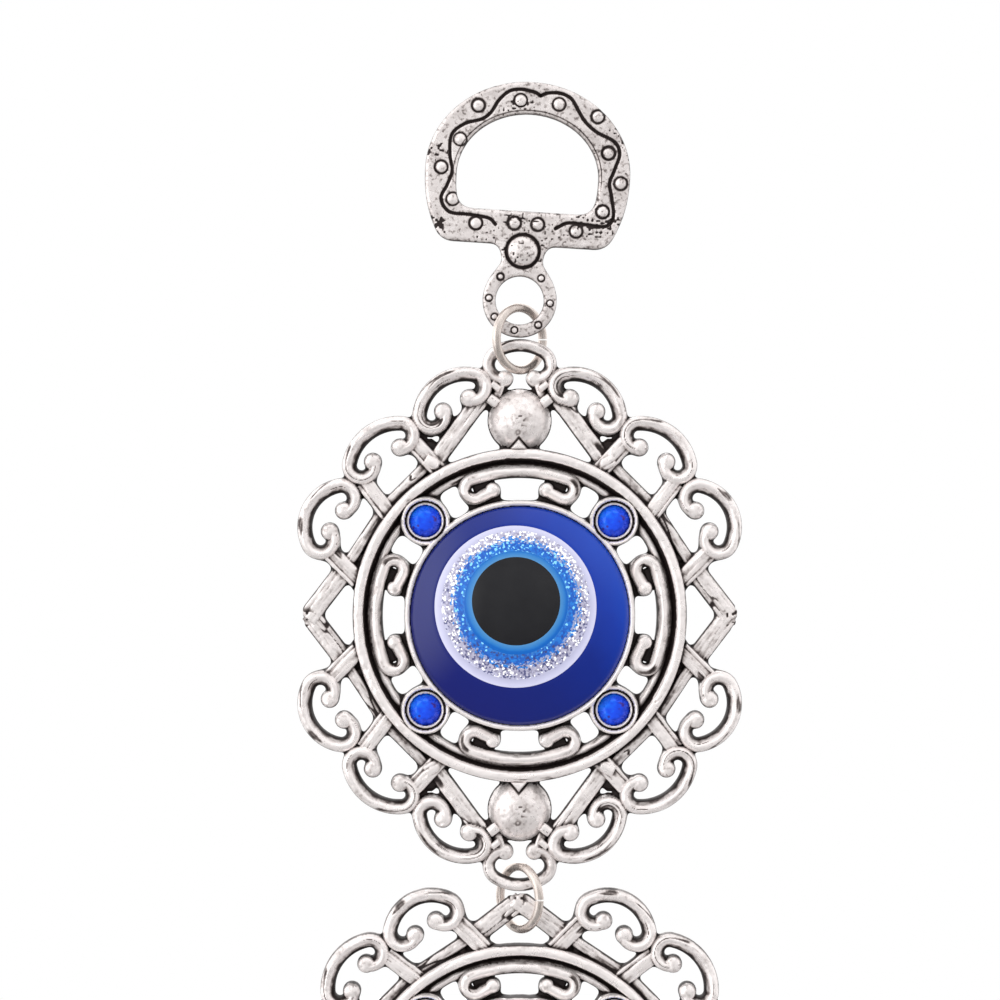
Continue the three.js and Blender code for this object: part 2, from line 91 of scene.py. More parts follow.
def value_noise(x, y, cell, seed, stretch=1.0):
    """Smooth noise from -1 to 1 with bumps about one cell wide, and longer along x if stretched."""
    draw = np.random.default_rng(seed)
    u = (x - x.min()) / (cell * stretch)
    v = (y - y.min()) / cell
    table = draw.uniform(-1.0, 1.0, (int(v.max()) + 2, int(u.max()) + 2))
    column = u.astype(int)
    row = v.astype(int)
    a = smooth_step(0.0, 1.0, u - column)
    b = smooth_step(0.0, 1.0, v - row)
    near = table[row, column] * (1 - a) + table[row, column + 1] * a
    far = table[row + 1, column] * (1 - a) + table[row + 1, column + 1] * a
    return near * (1 - b) + far * b


def blurred(field, cells):
    """A soft blur by a few box sums along each axis."""
    for _ in range(3):
        for axis in (0, 1):
            total = np.zeros_like(field)
            for shift in range(-cells, cells + 1):
                total += np.roll(field, shift, axis)
            field = total / (2 * cells + 1)
    return field


def smooth_max(a, b, blend):
    """The larger of two fields, filleted where they are about equal."""
    near = np.maximum(blend - np.abs(a - b), 0.0) / blend
    return np.maximum(a, b) + near * near * blend / 4.0


def upright(x=0.0, y=0.0, z=0.0, turn=0.0):
    """Stands a face-plane piece up, with its own origin at that place in metres."""
    stand = Matrix.Rotation(math.radians(90), 4, "X")
    return Matrix.Translation((x, y, z)) @ stand @ Matrix.Rotation(math.radians(turn), 4, "Z")


def mesh_object(name, vertices, loops, starts, matrix, material, smooth_angle=35.0):
    """A mesh from flat arrays: vertices in millimetres, loops as vertex numbers, faces by start."""
    mesh = bpy.data.meshes.new(name)
    mesh.vertices.add(len(vertices))
    mesh.vertices.foreach_set("co", (np.asarray(vertices, dtype=np.float32) * MM).ravel())
    mesh.loops.add(len(loops))
    mesh.loops.foreach_set("vertex_index", np.asarray(loops, dtype=np.int32))
    mesh.polygons.add(len(starts))
    mesh.polygons.foreach_set("loop_start", np.asarray(starts, dtype=np.int32))
    mesh.update(calc_edges=True)
    mesh.validate()
    mesh.shade_smooth()
    mesh.set_sharp_from_angle(angle=math.radians(smooth_angle))
    mesh.materials.append(material)
    made = bpy.data.objects.new(name, mesh)
    bpy.context.scene.collection.objects.link(made)
    made.matrix_world = matrix
    return made


def faces_object(name, vertices, faces, matrix, material, smooth_angle=35.0):
    loops = [corner for face in faces for corner in face]
    starts = np.cumsum([0] + [len(face) for face in faces[:-1]])
    return mesh_object(name, vertices, loops, starts, matrix, material, smooth_angle)


# ---- cast relief -------------------------------------------------------------------------------
class Relief:
    """A casting drawn on a square grid. Each point holds how far inside the outline it lies (inside,
    and webs with the corners filled), the heights of face and back, its blackening with painted shadow in
    places, and the weight of the painted crevice shade and oxide."""

    ramp = 0.13                # width of the rounded arris along every edge
    thinnest = 0.15            # least thickness of the metal
    flash_back = 0.25          # height of the back where only flashed metal lies
    back_patina = 0.14         # how dark the back is all over

    def __init__(self, low, high, step):
        xs = np.arange(low[0], high[0] + step, step)
        ys = np.arange(low[1], high[1] + step, step)
        self.step = step
        self.x, self.y = np.meshgrid(xs, ys)
        self.inside = np.full(self.x.shape, -9.0)
        self.webs = np.full(self.x.shape, -9.0)
        self.face = np.zeros(self.x.shape)
        self.back = np.full(self.x.shape, 9.0)
        self.soot = np.zeros(self.x.shape)
        self.hidden = np.ones(self.x.shape)

    def window(self, low, high):
        margin = 1.5
        first = [int((low[k] - margin - (self.x, self.y)[k].min()) / self.step) for k in (0, 1)]
        last = [int((high[k] + margin - (self.x, self.y)[k].min()) / self.step) + 2 for k in (0, 1)]
        return np.s_[max(first[1], 0):max(last[1], 0), max(first[0], 0):max(last[0], 0)]

    def add(self, area, edge, height, back=0.0, web=0.8, soot=0.0, hidden=1.0):
        """Lays an element on: edge is how far inside it a point lies, height its face there, then how black
        its surface is, with painted shadow in places, and how strongly its low parts, which escaped the
        polishing, take the oxide and the painted crevice shade."""
        lift = smooth_step(-self.ramp, self.ramp, edge)
        height = height * (0.35 + 0.65 * lift) * (edge > -self.ramp)
        self.soot[area] = np.where(height > self.face[area], soot, self.soot[area])
        self.hidden[area] = np.where(height > self.face[area], hidden, self.hidden[area])
        self.face[area] = np.maximum(self.face[area], height)
        self.inside[area] = np.maximum(self.inside[area], edge)
        self.webs[area] = smooth_max(self.webs[area], edge, web) if web else self.webs[area]
        under = np.where(edge > -2 * self.step, back, 9.0)
        self.back[area] = np.minimum(self.back[area], under)

    def fill_webs(self, height):
        """Thin flashed metal in the corners between the elements, half black with oxide and painted shadow.
        """
        self.inside = np.maximum(self.inside, self.webs)
        flash = height * (0.6 + 0.4 * smooth_step(0.0, 0.3, self.webs)) * (self.webs > -self.ramp)
        # Painted shadow: the flash is made half black where strokes shade the corners, with the oxide there.
        self.soot = np.where(flash > self.face, 0.5, self.soot)
        self.hidden = np.where(flash > self.face, 1.0, self.hidden)
        self.face = np.maximum(self.face, flash)
        self.back = np.where(self.back > 8.0, self.flash_back, self.back)

    def patina_and_shade(self):
        """How dark each point is: blackening, with the oxide and painted crevice shade high in crevices, and
        low on open crowns.
        """
        metal = (self.inside > 0) * 1.0
        around = []
        for reach in (0.2, 0.5):
            cells = max(1, round(reach / self.step))
            share = np.maximum(blurred(metal, cells), 0.02)
            around.append(blurred(self.face * metal, cells) / share - self.face)
        # Painted shade with the oxide: darker where a point lies below the metal around it, and a little
        # darker along every edge of the outline.
        wall = 1.0 - smooth_step(0.0, 0.16, self.inside)
        crevice_shade_and_oxide = 1.1 * around[0] + 0.55 * around[1] + 0.12 * wall
        return np.clip(self.soot + self.hidden * crevice_shade_and_oxide, -1.0, 1.0)

    def build(self, name, matrix, material):
        solid = self.inside > 0
        corners = np.full(solid.shape, -1)
        corners[solid] = np.arange(solid.sum())
        fields = (self.x, self.y, self.face, np.minimum(self.back, 3.0), self.patina_and_shade())
        columns = [[field[solid] for field in fields]]
        count = int(solid.sum())
        crossings = []
        for one, two in ((np.s_[:, :-1], np.s_[:, 1:]), (np.s_[:-1, :], np.s_[1:, :])):
            crossed = solid[one] != solid[two]
            index = np.full(crossed.shape, -1)
            index[crossed] = count + np.arange(crossed.sum())
            count += int(crossed.sum())
            a = self.inside[one][crossed]
            b = self.inside[two][crossed]
            share = np.clip(a / (a - b), 0.04, 0.96)
            columns.append([f[one][crossed] * (1 - share) + f[two][crossed] * share for f in fields])
            crossings.append(index)
        x, y, face, back, dark = (np.concatenate(parts) for parts in zip(*columns))
        along, across = crossings
        corner = (corners[:-1, :-1], corners[:-1, 1:], corners[1:, 1:], corners[1:, :-1])
        side = (along[:-1, :], across[:, 1:], along[1:, :], across[:, :-1])
        code = sum((c >= 0) * (1 << k) for k, c in enumerate(corner))
        polygons = []
        for kind in range(1, 16):
            here = code == kind
            if not here.any():
                continue
            inside = [bool(kind >> k & 1) for k in range(4)]
            ring = []
            exits = []
            for k in range(4):
                if inside[k]:
                    ring.append(corner[k][here])
                if inside[k] != inside[(k + 1) % 4]:
                    if inside[k]:
                        exits.append(len(ring))
                    ring.append(side[k][here])
            polygons.append(np.stack(ring, axis=1))
            polygons.append(np.stack(ring[::-1], axis=1) + count)
            for leave in exits:
                a = ring[leave]
                b = ring[(leave + 1) % len(ring)]
                polygons.append(np.stack([b, a, a + count, b + count], axis=1))
        loops = np.concatenate([p.ravel() for p in polygons])
        sizes = np.concatenate([np.full(len(p), p.shape[1]) for p in polygons])
        starts = np.concatenate([[0], np.cumsum(sizes)[:-1]])
        top = np.stack([x, y, np.maximum(face, back + self.thinnest)], axis=1)
        bottom = np.stack([x, y, back], axis=1)
        made = mesh_object(name, np.concatenate([top, bottom]), loops, starts, matrix, material, 48.0)
        # Each point's darkness, painted crevice shade and shadow included, for the material to read.
        layer = made.data.attributes.new("patina_and_shade", "FLOAT", "POINT")
        shade = np.concatenate([dark, np.full(count, self.back_patina)])
        layer.data.foreach_set("value", shade.astype(np.float32))
        return made


class Path:
    """A centre line of straight and round stretches, as close points with their headings."""

    def __init__(self, x, y, heading, stretches, spacing=0.12):
        points = []
        headings = []
        heading = math.radians(heading)
        for length, radius, turn in stretches:
            total = length if not turn else abs(math.radians(turn)) * radius
            steps = max(2, math.ceil(total / spacing))
            for _ in range(steps):
                points.append((x, y))
                headings.append(heading)
                step_turn = math.radians(turn) / steps
                middle = heading + step_turn / 2
                stride = total / steps
                x += stride * math.cos(middle)
                y += stride * math.sin(middle)
                heading += step_turn
        points.append((x, y))
        headings.append(heading)
        self.points = np.array(points)
        self.headings = np.array(headings)

    def flipped(self, sign_x, sign_y):
        """The mirrored path, run so that its hollow side stays on the left."""
        other = Path.__new__(Path)
        points = self.points * (sign_x, sign_y)
        directions = np.stack([np.cos(self.headings) * sign_x, np.sin(self.headings) * sign_y], axis=1)
        headings = np.arctan2(directions[:, 1], directions[:, 0])
        if sign_x * sign_y < 0:
            points = points[::-1]
            headings = headings[::-1] + math.pi
        other.points = points
        other.headings = headings
        return other

    def turned(self, angle):
        other = Path.__new__(Path)
        c, s = math.cos(math.radians(angle)), math.sin(math.radians(angle))
        other.points = self.points @ np.array([[c, s], [-s, c]])
        other.headings = self.headings + math.radians(angle)
        return other

    def measure(self, x, y):
        """Distance of each grid point from the line, its signed side (left is positive), and how
        far along it lies, from 0 to 1."""
        best = np.full(x.shape, 1e9)
        number = np.zeros(x.shape, dtype=int)
        for k, (px, py) in enumerate(self.points):
            distance = (x - px) ** 2 + (y - py) ** 2
            nearer = distance < best
            best = np.where(nearer, distance, best)
            number = np.where(nearer, k, number)
        heading = self.headings[number]
        dx = x - self.points[number, 0]
        dy = y - self.points[number, 1]
        left = dy * np.cos(heading) - dx * np.sin(heading)
        return np.sqrt(best), left, number / (len(self.points) - 1)


def streaks(along, across, seed):
    """Fine lines left along a stroke, with a few thin ones cut deeper and dark."""
    lines = value_noise(along, across, 0.5, seed, 8.0)
    fine = value_noise(along, across, 0.17, seed + 1, 7.0)
    where = smooth_step(0.05, 0.4, value_noise(along, across, 1.1, seed + 2, 2.0))
    return 0.3 * lines + 0.55 * fine + 1.7 * where * (1.0 - smooth_step(0.05, 0.17, np.abs(lines)))


def lay_stroke(relief, path, half, height, hollow=0.5, crest=-0.22, ball=0.0, web=0.8, soot=0.42):
    """A cast stroke: a bright crest towards its outer side and a slope down its hollow side."""
    reach = half + max(ball, 0.0)
    area = relief.window(path.points.min(axis=0) - reach, path.points.max(axis=0) + reach)
    x, y = relief.x[area], relief.y[area]
    distance, left, along = path.measure(x, y)
    offset = np.clip(left / half, -1.0, 1.0)
    length = 0.12 * len(path.points)
    grain = streaks(along * length, left, int(abs(path.points).sum() * 10) % 9973)
    outer_side = 0.22 * np.clip((crest - offset) / (1 + crest), 0.0, 1.0) ** 2
    inner_side = hollow * np.clip((offset - crest) / (1 - crest), 0.0, 1.0) ** 1.7
    crown = height * (1.0 - outer_side - inner_side)
    patchy = value_noise(along * length, left, 0.3, 31, 2.0)
    worn = 0.3 + 0.7 * smooth_step(-0.95, -0.6, offset)
    black = soot * smooth_step(0.2 + 0.45 * patchy, 1.2, offset) + 0.24 * grain * worn + 0.02
    edge = half - distance
    # Weight of the painted crevice shade and oxide, less towards the stroke's outer side.
    hidden = 0.25 + 0.75 * smooth_step(-0.3, 0.5, offset)
    relief.add(area, edge, crown - 0.05 * grain, web=web, soot=black, hidden=hidden)
    if ball:
        for px, py in (path.points[0], path.points[-1]):
            reach = np.hypot(x - px, y - py)
            dome = height * (0.72 + 0.3 * np.sqrt(np.clip(1 - (reach / ball) ** 2, 0.0, 1.0)))
            mottle = 0.12 * value_noise(x, y, 0.3, 37) + 0.04
            relief.add(area, ball - reach, dome, web=0.3, soot=mottle, hidden=0.35)


def lay_bar(relief, start, end, half, low, high, groove=0.0, round_end=False, web=0.8, black=0.0):
    """A flat lattice bar with softened long edges, and a scored line along it where it has one."""
    (ax, ay), (bx, by) = start, end
    area = relief.window((min(ax, bx) - half, min(ay, by) - half), (max(ax, bx) + half, max(ay, by) + half))
    x, y = relief.x[area], relief.y[area]
    length = math.hypot(bx - ax, by - ay)
    ux, uy = (bx - ax) / length, (by - ay) / length
    along = (x - ax) * ux + (y - ay) * uy
    across = (y - ay) * ux - (x - ax) * uy
    edge = np.minimum(half - np.abs(across), np.minimum(along, length - along))
    if round_end:
        past = along - (length - half)
        rounded = half - np.hypot(across, np.maximum(past, 0.0))
        edge = np.where(past > 0, np.minimum(rounded, half - np.abs(across)), edge)
    share = np.clip(across / half, -1.0, 1.0)
    height = high * (1.0 - 0.10 * share ** 2)
    if groove:
        height = height - 0.22 * np.exp(-((share - groove) / 0.10) ** 2)
        height = np.where(share > groove, height - 0.14, height)
    grain = streaks(along, across, int(abs(ax * 7 + ay * 13 + bx) * 10) % 9973)
    soot = 0.30 * smooth_step(0.78, 1.0, np.abs(share)) + 0.22 * grain + 0.03 + black
    relief.add(area, edge, height - 0.06 * grain, back=low, web=web, soot=soot)


# ---- the medallion's casting -------------------------------------------------------------------
def scroll_path(distance, direction, bow, facing, upper, lower, curl, upper_curl, lower_curl):
    """An outer scroll: it bows outwards round its middle and curls inwards at both ends."""
    mx, my = polar(distance, direction)
    bow_start = facing - upper
    hx, hy = polar(bow - curl, bow_start)
    start_angle = bow_start - upper_curl
    sx, sy = polar(curl, start_angle)
    stretches = [(0, curl, upper_curl), (0, bow, upper + lower), (0, curl, lower_curl)]
    return Path(mx + hx + sx, my + hy + sy, start_angle + 90, stretches)


def end_scroll_path(top=30.25, crown=5.0, crown_turn=33, curl=1.6, curl_turn=155):
    """The scroll at the top or bottom that a jump ring passes through."""
    start_angle = 90 - crown_turn - curl_turn
    cx, cy = polar(crown - curl, 90 - crown_turn)
    sx, sy = polar(curl, start_angle)
    stretches = [(0, curl, curl_turn), (0, crown, 2 * crown_turn), (0, curl, curl_turn)]
    return Path(cx + sx, top - crown + cy + sy, start_angle + 90, stretches)


def inner_scroll_path(bow=16.1, bow_turn=19.6, curl=1.1, curl_turn=190, tail=1.7):
    """A scroll between the rim and the eye, with a straight tail inside each hook."""
    start_angle = 90 - bow_turn - curl_turn
    heading = start_angle + 90
    cx, cy = polar(bow - curl, 90 - bow_turn)
    sx, sy = polar(curl, start_angle)
    tx, ty = polar(tail, heading)
    hook, straight = (0, curl, curl_turn), (tail, 0, 0)
    stretches = [straight, hook, (0, bow, 2 * bow_turn), hook, straight]
    return Path(cx + sx - tx, cy + sy - ty, heading, stretches)


# The outer scrolls of the upper left quadrant. The values come from a scratch script's fit to points
# read off the photograph by eye, rounded, with four curl angles changed by up to two degrees.
OUTER_SCROLLS = [
    scroll_path(22.65, 105.5, 5.2, 118, 40, 54, 1.35, 186, 208),
    scroll_path(20.9, 130.5, 5.6, 123, 36, 45, 1.35, 180, 210),
    scroll_path(21.75, 153.0, 4.7, 154, 53, 52, 1.42, 178, 196),
]


def lay_rim(relief):
    """The rim ring: a bright outer band, a slope behind it and a low ledge inside."""
    area = np.s_[:, :]
    radius = np.hypot(relief.x, relief.y)
    middle = (RIM["outer"] + RIM["inner"]) / 2
    half = (RIM["outer"] - RIM["inner"]) / 2
    edge = half - np.abs(radius - middle)
    band = RIM["height"] - 0.35 * ((radius - 18.1) / 0.7) ** 2
    fall = smooth_step(RIM["ledge_top"] - 0.1, RIM["shoulder"] + 0.1, radius)
    slope = RIM["ledge"] + (RIM["height"] - RIM["ledge"]) * fall
    ledge = 0.25 * smooth_step(0.45, 0.0, np.abs(radius - 16.7))
    groove = 0.45 * np.exp(-((radius - 17.25) / 0.14) ** 2)
    height = np.where(radius > RIM["shoulder"], np.minimum(band, slope + 0.2), slope + ledge) - groove
    angle = np.arctan2(relief.y, relief.x)
    grain = streaks(np.mod(angle + 0.9, 2 * math.pi) * 18.0, radius, 401)
    # The black band is the groove's oxide, widened towards the casting's top by painted shadow.
    black_and_shadow_width = 0.23 + 0.10 * np.sin(angle) + 0.05 * value_noise(relief.x, relief.y, 0.3, 402)
    soot = 0.85 * np.exp(-((radius - 17.32) / black_and_shadow_width) ** 4) + 0.02 * (radius < 17.1) + 0.15 * grain + 0.05
    relief.add(area, edge, height - 0.05 * grain, web=0, soot=soot)
    relief.webs = smooth_max(relief.webs, edge, 0.8)


def lay_cup(relief, centre, cup, wall, web):
    """A round cup: an upright wall with a rounded rim over a flat floor."""
    cx, cy = centre
    outer = cup["outer"]
    area = relief.window((cx - outer, cy - outer), (cx + outer, cy + outer))
    reach = np.hypot(relief.x[area] - cx, relief.y[area] - cy)
    edge = outer - reach
    rim = np.clip((reach - (outer - wall / 2)) / (wall / 2), -1.0, 1.0)
    top = cup["height"] - 0.30 * rim ** 2
    height = np.where(reach > cup["inner"], top, cup["floor"])
    relief.add(area, edge, height, web=0)
    well = reach < cup["inner"]
    relief.face[area] = np.where(well, cup["floor"], relief.face[area])
    relief.soot[area] = np.where(well, 0.9, relief.soot[area])
    relief.webs[area] = smooth_max(relief.webs[area], edge, web)


def lay_seat(relief, centre):
    """The dark groove and the thin second ring that hold a stone inside its cup."""
    cx, cy = centre
    area = relief.window((cx - 3, cy - 3), (cx + 3, cy + 3))
    reach = np.hypot(relief.x[area] - cx, relief.y[area] - cy)
    within = reach < 2.3
    ring = 2.05 + 0.35 * np.sqrt(np.clip(1 - ((reach - 1.95) / 0.17) ** 2, 0.0, 1.0))
    shown = within & (reach > CUP["inner"] - 0.16)
    relief.face[area] = np.where(shown, ring, relief.face[area])
    groove = smooth_step(0.10, 0.22, np.abs(reach - 1.95))
    relief.soot[area] = np.where(shown, 0.10 + 0.75 * groove, relief.soot[area])


def lay_lattice(relief, sx, sy):
    """The straight bars of one quadrant."""
    def at(x, y):
        return x * sx, y * sy
    flip = 1 if sx * sy > 0 else -1
    lay_bar(relief, at(-4.0, 24.7), at(-9.7, 16.9), 1.0, 0.4, 1.62)
    lay_bar(relief, at(-10.0, 17.2), at(-14.9, 12.3), 0.66, 0.4, 1.4)
    lay_bar(relief, at(-15.4, 11.6), at(-19.3, 5.7), 0.66, 0.4, 1.4)
    crossing = [((-12.1, 19.5), (-8.8, 16.0)), ((-17.5, 15.0), (-14.4, 10.9)), ((-21.4, 7.2), (-18.0, 3.8))]
    for start, end in crossing:
        lay_bar(relief, at(*start), at(*end), 1.03, 0.4, 2.05, groove=-0.5 * flip)
    lay_bar(relief, at(-10.6, 17.5), at(-9.0, 16.6), 0.75, 0.4, 2.25, round_end=True)
    lay_bar(relief, at(-10.7, 18.9), at(-9.3, 18.9), 0.62, 0.4, 1.0, round_end=True, web=0.5, black=0.6)
    lay_bar(relief, at(-18.2, 6.4), at(-17.4, 6.3), 0.45, 0.4, 1.0, web=0.3, black=0.5)


def lay_chevron(relief, sx):
    """The V at either side. Its upper arm laps over the lower one at the blunt, worn point."""
    angle = 52.5
    length = 7.4
    half = 1.15
    tip = 24.95 - half / math.sin(math.radians(angle))
    across, up = polar(length, angle)
    for sy in (-1, 1):
        end = (-(tip - across) * sx, up * sy)
        start = (-(tip + 0.35) * sx, -0.45 * sy)
        lay_bar(relief, start, end, half, 0.4, 1.55 if sy > 0 else 1.35)
    area = relief.window((-25.0 if sx > 0 else 21.0, -2.5), (-21.0 if sx > 0 else 25.0, 2.5))
    x, y = relief.x[area], relief.y[area]
    worn = value_noise(x, y, 0.32, 61)
    blunt = 24.3 - 0.14 * (y / 0.8) ** 2 + 0.16 * worn - np.abs(x)
    near = np.hypot(np.abs(x) - 24.0, y + 0.2) < 1.5
    for field in (relief.inside, relief.webs):
        field[area] = np.where(near, np.minimum(field[area], blunt), field[area])
    crumbs = smooth_step(0.35, 0.6, worn) * smooth_step(1.5, 0.5, np.hypot(np.abs(x) - 23.8, y + 0.3))
    relief.soot[area] = relief.soot[area] + 0.4 * crumbs
    relief.face[area] = relief.face[area] - 0.12 * crumbs


def lay_ball(relief, sy):
    """The half ball between the end scroll and the rim, with its collars, stems and foot."""
    cy = BALL["distance"] * sy
    radius = BALL["radius"]
    area = relief.window((-radius, cy - radius), (radius, cy + radius))
    x, y = relief.x[area], relief.y[area]
    reach = np.hypot(x, y - cy)
    dome = BALL["height"] * np.sqrt(np.clip(1 - (reach / radius) ** 2, 0.04, 1.0))
    speckle = smooth_step(0.25, 0.6, value_noise(x, y, 0.27, 51))
    cluster = np.exp(-(((x - 0.05) / 0.6) ** 2 + ((y - cy + 0.1) / 1.1) ** 2)) * speckle
    pit = np.exp(-((np.hypot(x + 0.2, y - cy + 1.35) - 0.22) / 0.12) ** 2)
    mottle = 0.05 * value_noise(x, y, 0.8, 52) + 0.05 * speckle + 0.05
    soot = mottle + 0.35 * cluster + 0.25 * pit
    relief.add(area, radius - reach, dome - 0.06 * cluster - 0.08 * pit, web=0.7, soot=soot, hidden=0.12)
    foot = sy * y - 18.6
    arch = np.minimum(0.8 * (0.98 - 0.86 * foot - np.abs(x + 0.1)), foot)
    line = np.exp(-((arch + 0.10) / 0.12) ** 2) * (sy * y > 18.6) * (reach < radius + 0.3)
    relief.soot[area] = np.maximum(relief.soot[area], 0.75 * line)
    relief.add(area, arch, 2.95 + 0.05 * np.abs(x), back=0.2, web=0, soot=0.0)
    for sx in (-1, 1):
        lay_bar(relief, (1.2 * sx, 18.9 * sy), (2.0 * sx, 18.8 * sy), 0.38, 0.2, 1.3, web=0.4, black=0.7)
        lay_bar(relief, (1.9 * sx, 26.6 * sy), (2.9 * sx, 23.4 * sy), 0.55, 0.2, 1.5, web=0.9)
        lay_bar(relief, (2.42 * sx, 23.58 * sy), (3.5 * sx, 24.38 * sy), 0.62, 0.2, 2.2, web=0.9)
        lay_bar(relief, (2.35 * sx, 23.75 * sy), (3.4 * sx, 24.5 * sy), 0.09, 0.2, 2.34, web=0, black=0.8)
        lay_bar(relief, (2.2 * sx, 25.2 * sy), (3.2 * sx, 26.0 * sy), 0.42, 0.2, 2.15, web=0.6)


def hollow_back(relief, centre, radius=1.1, depth=0.8):
    """Hollows the back beside a ring's hole, where the wire passes behind the casting."""
    area = relief.window([part - radius for part in centre], [part + radius for part in centre])
    reach = np.hypot(relief.x[area] - centre[0], relief.y[area] - centre[1])
    hollow = depth * (1 - smooth_step(radius - 0.3, radius, reach))
    relief.back[area] = np.maximum(relief.back[area], np.minimum(hollow, relief.face[area] - relief.thinnest))


def medallion_relief():
    """The whole casting of a medallion, the later elements over the earlier ones."""
    relief = Relief((-25.4, -31.6), (25.4, 31.6), 0.1)
    for sx in (1, -1):
        for sy in (1, -1):
            lay_lattice(relief, sx, sy)
        lay_chevron(relief, sx)
    lay_rim(relief)
    for sx in (1, -1):
        for sy in (1, -1):
            for path, web in zip(OUTER_SCROLLS, (1.3, 0.9, 0.8)):
                lay_stroke(relief, path.flipped(sx, sy), 0.82, 2.4, ball=1.0, web=web)
    for sy in (1, -1):
        lay_ball(relief, sy)
        lay_stroke(relief, end_scroll_path().flipped(1, sy), 0.7, 1.6, hollow=0.35, ball=0.92)
    for quarter in (0, 90, 180, 270):
        path = inner_scroll_path().turned(quarter)
        for side in (-1, 1):
            start, end = Path(5.2 * side, 14.0, 0, []), Path(2.8 * side, 15.05, 0, [])
            (start,), (end,) = start.turned(quarter).points, end.turned(quarter).points
            lay_bar(relief, start, end, 0.7, 0.4, 1.0, round_end=True, web=0, black=0.6)
        lay_stroke(relief, path, 0.74, 2.3, hollow=0.35, crest=0.0, ball=0.86, web=0.9, soot=0.3)
    lay_cup(relief, (0, 0), BEZEL, BEZEL["outer"] - BEZEL["inner"], 1.6)
    for angle in (45, 135, 225, 315):
        lay_cup(relief, polar(CUP["distance"], angle), CUP, 0.5, 1.4)
        lay_seat(relief, polar(CUP["distance"], angle))
    relief.fill_webs(0.95)
    waves = 0.05 * value_noise(relief.x, relief.y, 0.9, 11)
    rough = waves + 0.025 * value_noise(relief.x, relief.y, 0.35, 12)
    relief.face = relief.face + rough * (relief.face > 1.2)
    for sx in (-1, 1):
        for sy in (-1, 1):
            hollow_back(relief, (WIRE_HOLLOW[0] * sx, WIRE_HOLLOW[1] * sy))
    return relief


# ---- the hanger's casting ----------------------------------------------------------------------
def inside_polygon(x, y, outline):
    """Signed distance inside a closed outline."""
    best = np.full(x.shape, 1e9)
    within = np.zeros(x.shape, dtype=bool)
    for (ax, ay), (bx, by) in zip(outline, np.roll(outline, -1, axis=0)):
        dx, dy = bx - ax, by - ay
        share = np.clip(((x - ax) * dx + (y - ay) * dy) / (dx * dx + dy * dy + 1e-12), 0.0, 1.0)
        best = np.minimum(best, np.hypot(x - ax - share * dx, y - ay - share * dy))
        spans = (ay > y) != (by > y)
        if by != ay:
            within ^= spans & (x < ax + (y - ay) * dx / (by - ay))
    return np.where(within, best, -best)


def bezier(points, steps):
    """Points of a Bezier curve of any degree, all but the last one."""
    made = []
    for k in range(steps):
        t = k / steps
        level = [np.array(p, dtype=float) for p in points]
        while len(level) > 1:
            level = [a * (1 - t) + b * t for a, b in zip(level, level[1:])]
        made.append(level[0])
    return made


def d_outline():
    """The outside of the D, once round."""
    h = HANGER
    wide, foot, cx, run = h["outer_half"], -h["bottom"], h["corner_x"], h["corner_run"]
    low_x, low_y = polar(run, h["flank_angle"])
    low_x, low_y = cx + low_x, foot + low_y
    pull_x, pull_y = polar(h["flank_run"], h["flank_angle"])
    pull_x, pull_y = low_x + pull_x, low_y + pull_y
    flank = [(wide, -h["shoulder"]), (wide, -h["hip"]), (pull_x, pull_y), (low_x, low_y)]
    corner = [(low_x, low_y), (cx, foot), (cx - run, foot)]
    points = bezier([(-x, y) for x, y in flank], 16) + bezier([(-x, y) for x, y in corner], 8)
    points += [np.array((run - cx, foot))] + bezier(corner[::-1], 8) + bezier(flank[::-1], 16)
    for k in range(60):
        angle = math.pi * k / 60
        y = -h["shoulder"] + (h["outer_top"] + h["shoulder"]) * math.sin(angle)
        points.append((wide * math.cos(angle), y))
    return np.array(points)


def d_opening():
    """The opening of the D."""
    h = HANGER
    wide, foot = h["open_half"], -h["open_bottom"]
    hip, pull = (wide, -h["open_hip"]), (h["open_pull"], foot)
    side = [(wide, -h["open_shoulder"]), hip, pull, (h["open_foot"], foot)]
    points = bezier([(-x, y) for x, y in side], 20) + [np.array((-h["open_foot"], foot))]
    points += bezier(side[::-1], 20)
    for k in range(50):
        angle = math.pi * k / 50
        points.append((wide * math.cos(angle), -h["open_shoulder"] * (1 - math.sin(angle))))
    return np.array(points)


def neck_outline():
    """The neck between the D and its loop."""
    h = HANGER
    wide, narrow, foot = h["neck_top"], h["neck_half"], -h["bottom"]
    right = bezier([(wide, foot + 0.5), (wide, foot)], 1)
    right += bezier([(wide, foot), (narrow, foot), (narrow, -h["neck_drop"])], 8)
    right += [np.array((narrow, -h["neck_drop"])), np.array((narrow + 0.6, 2 - h["loop_drop"]))]
    left = [p * (-1, 1) for p in reversed(right)]
    return np.array(right + left)


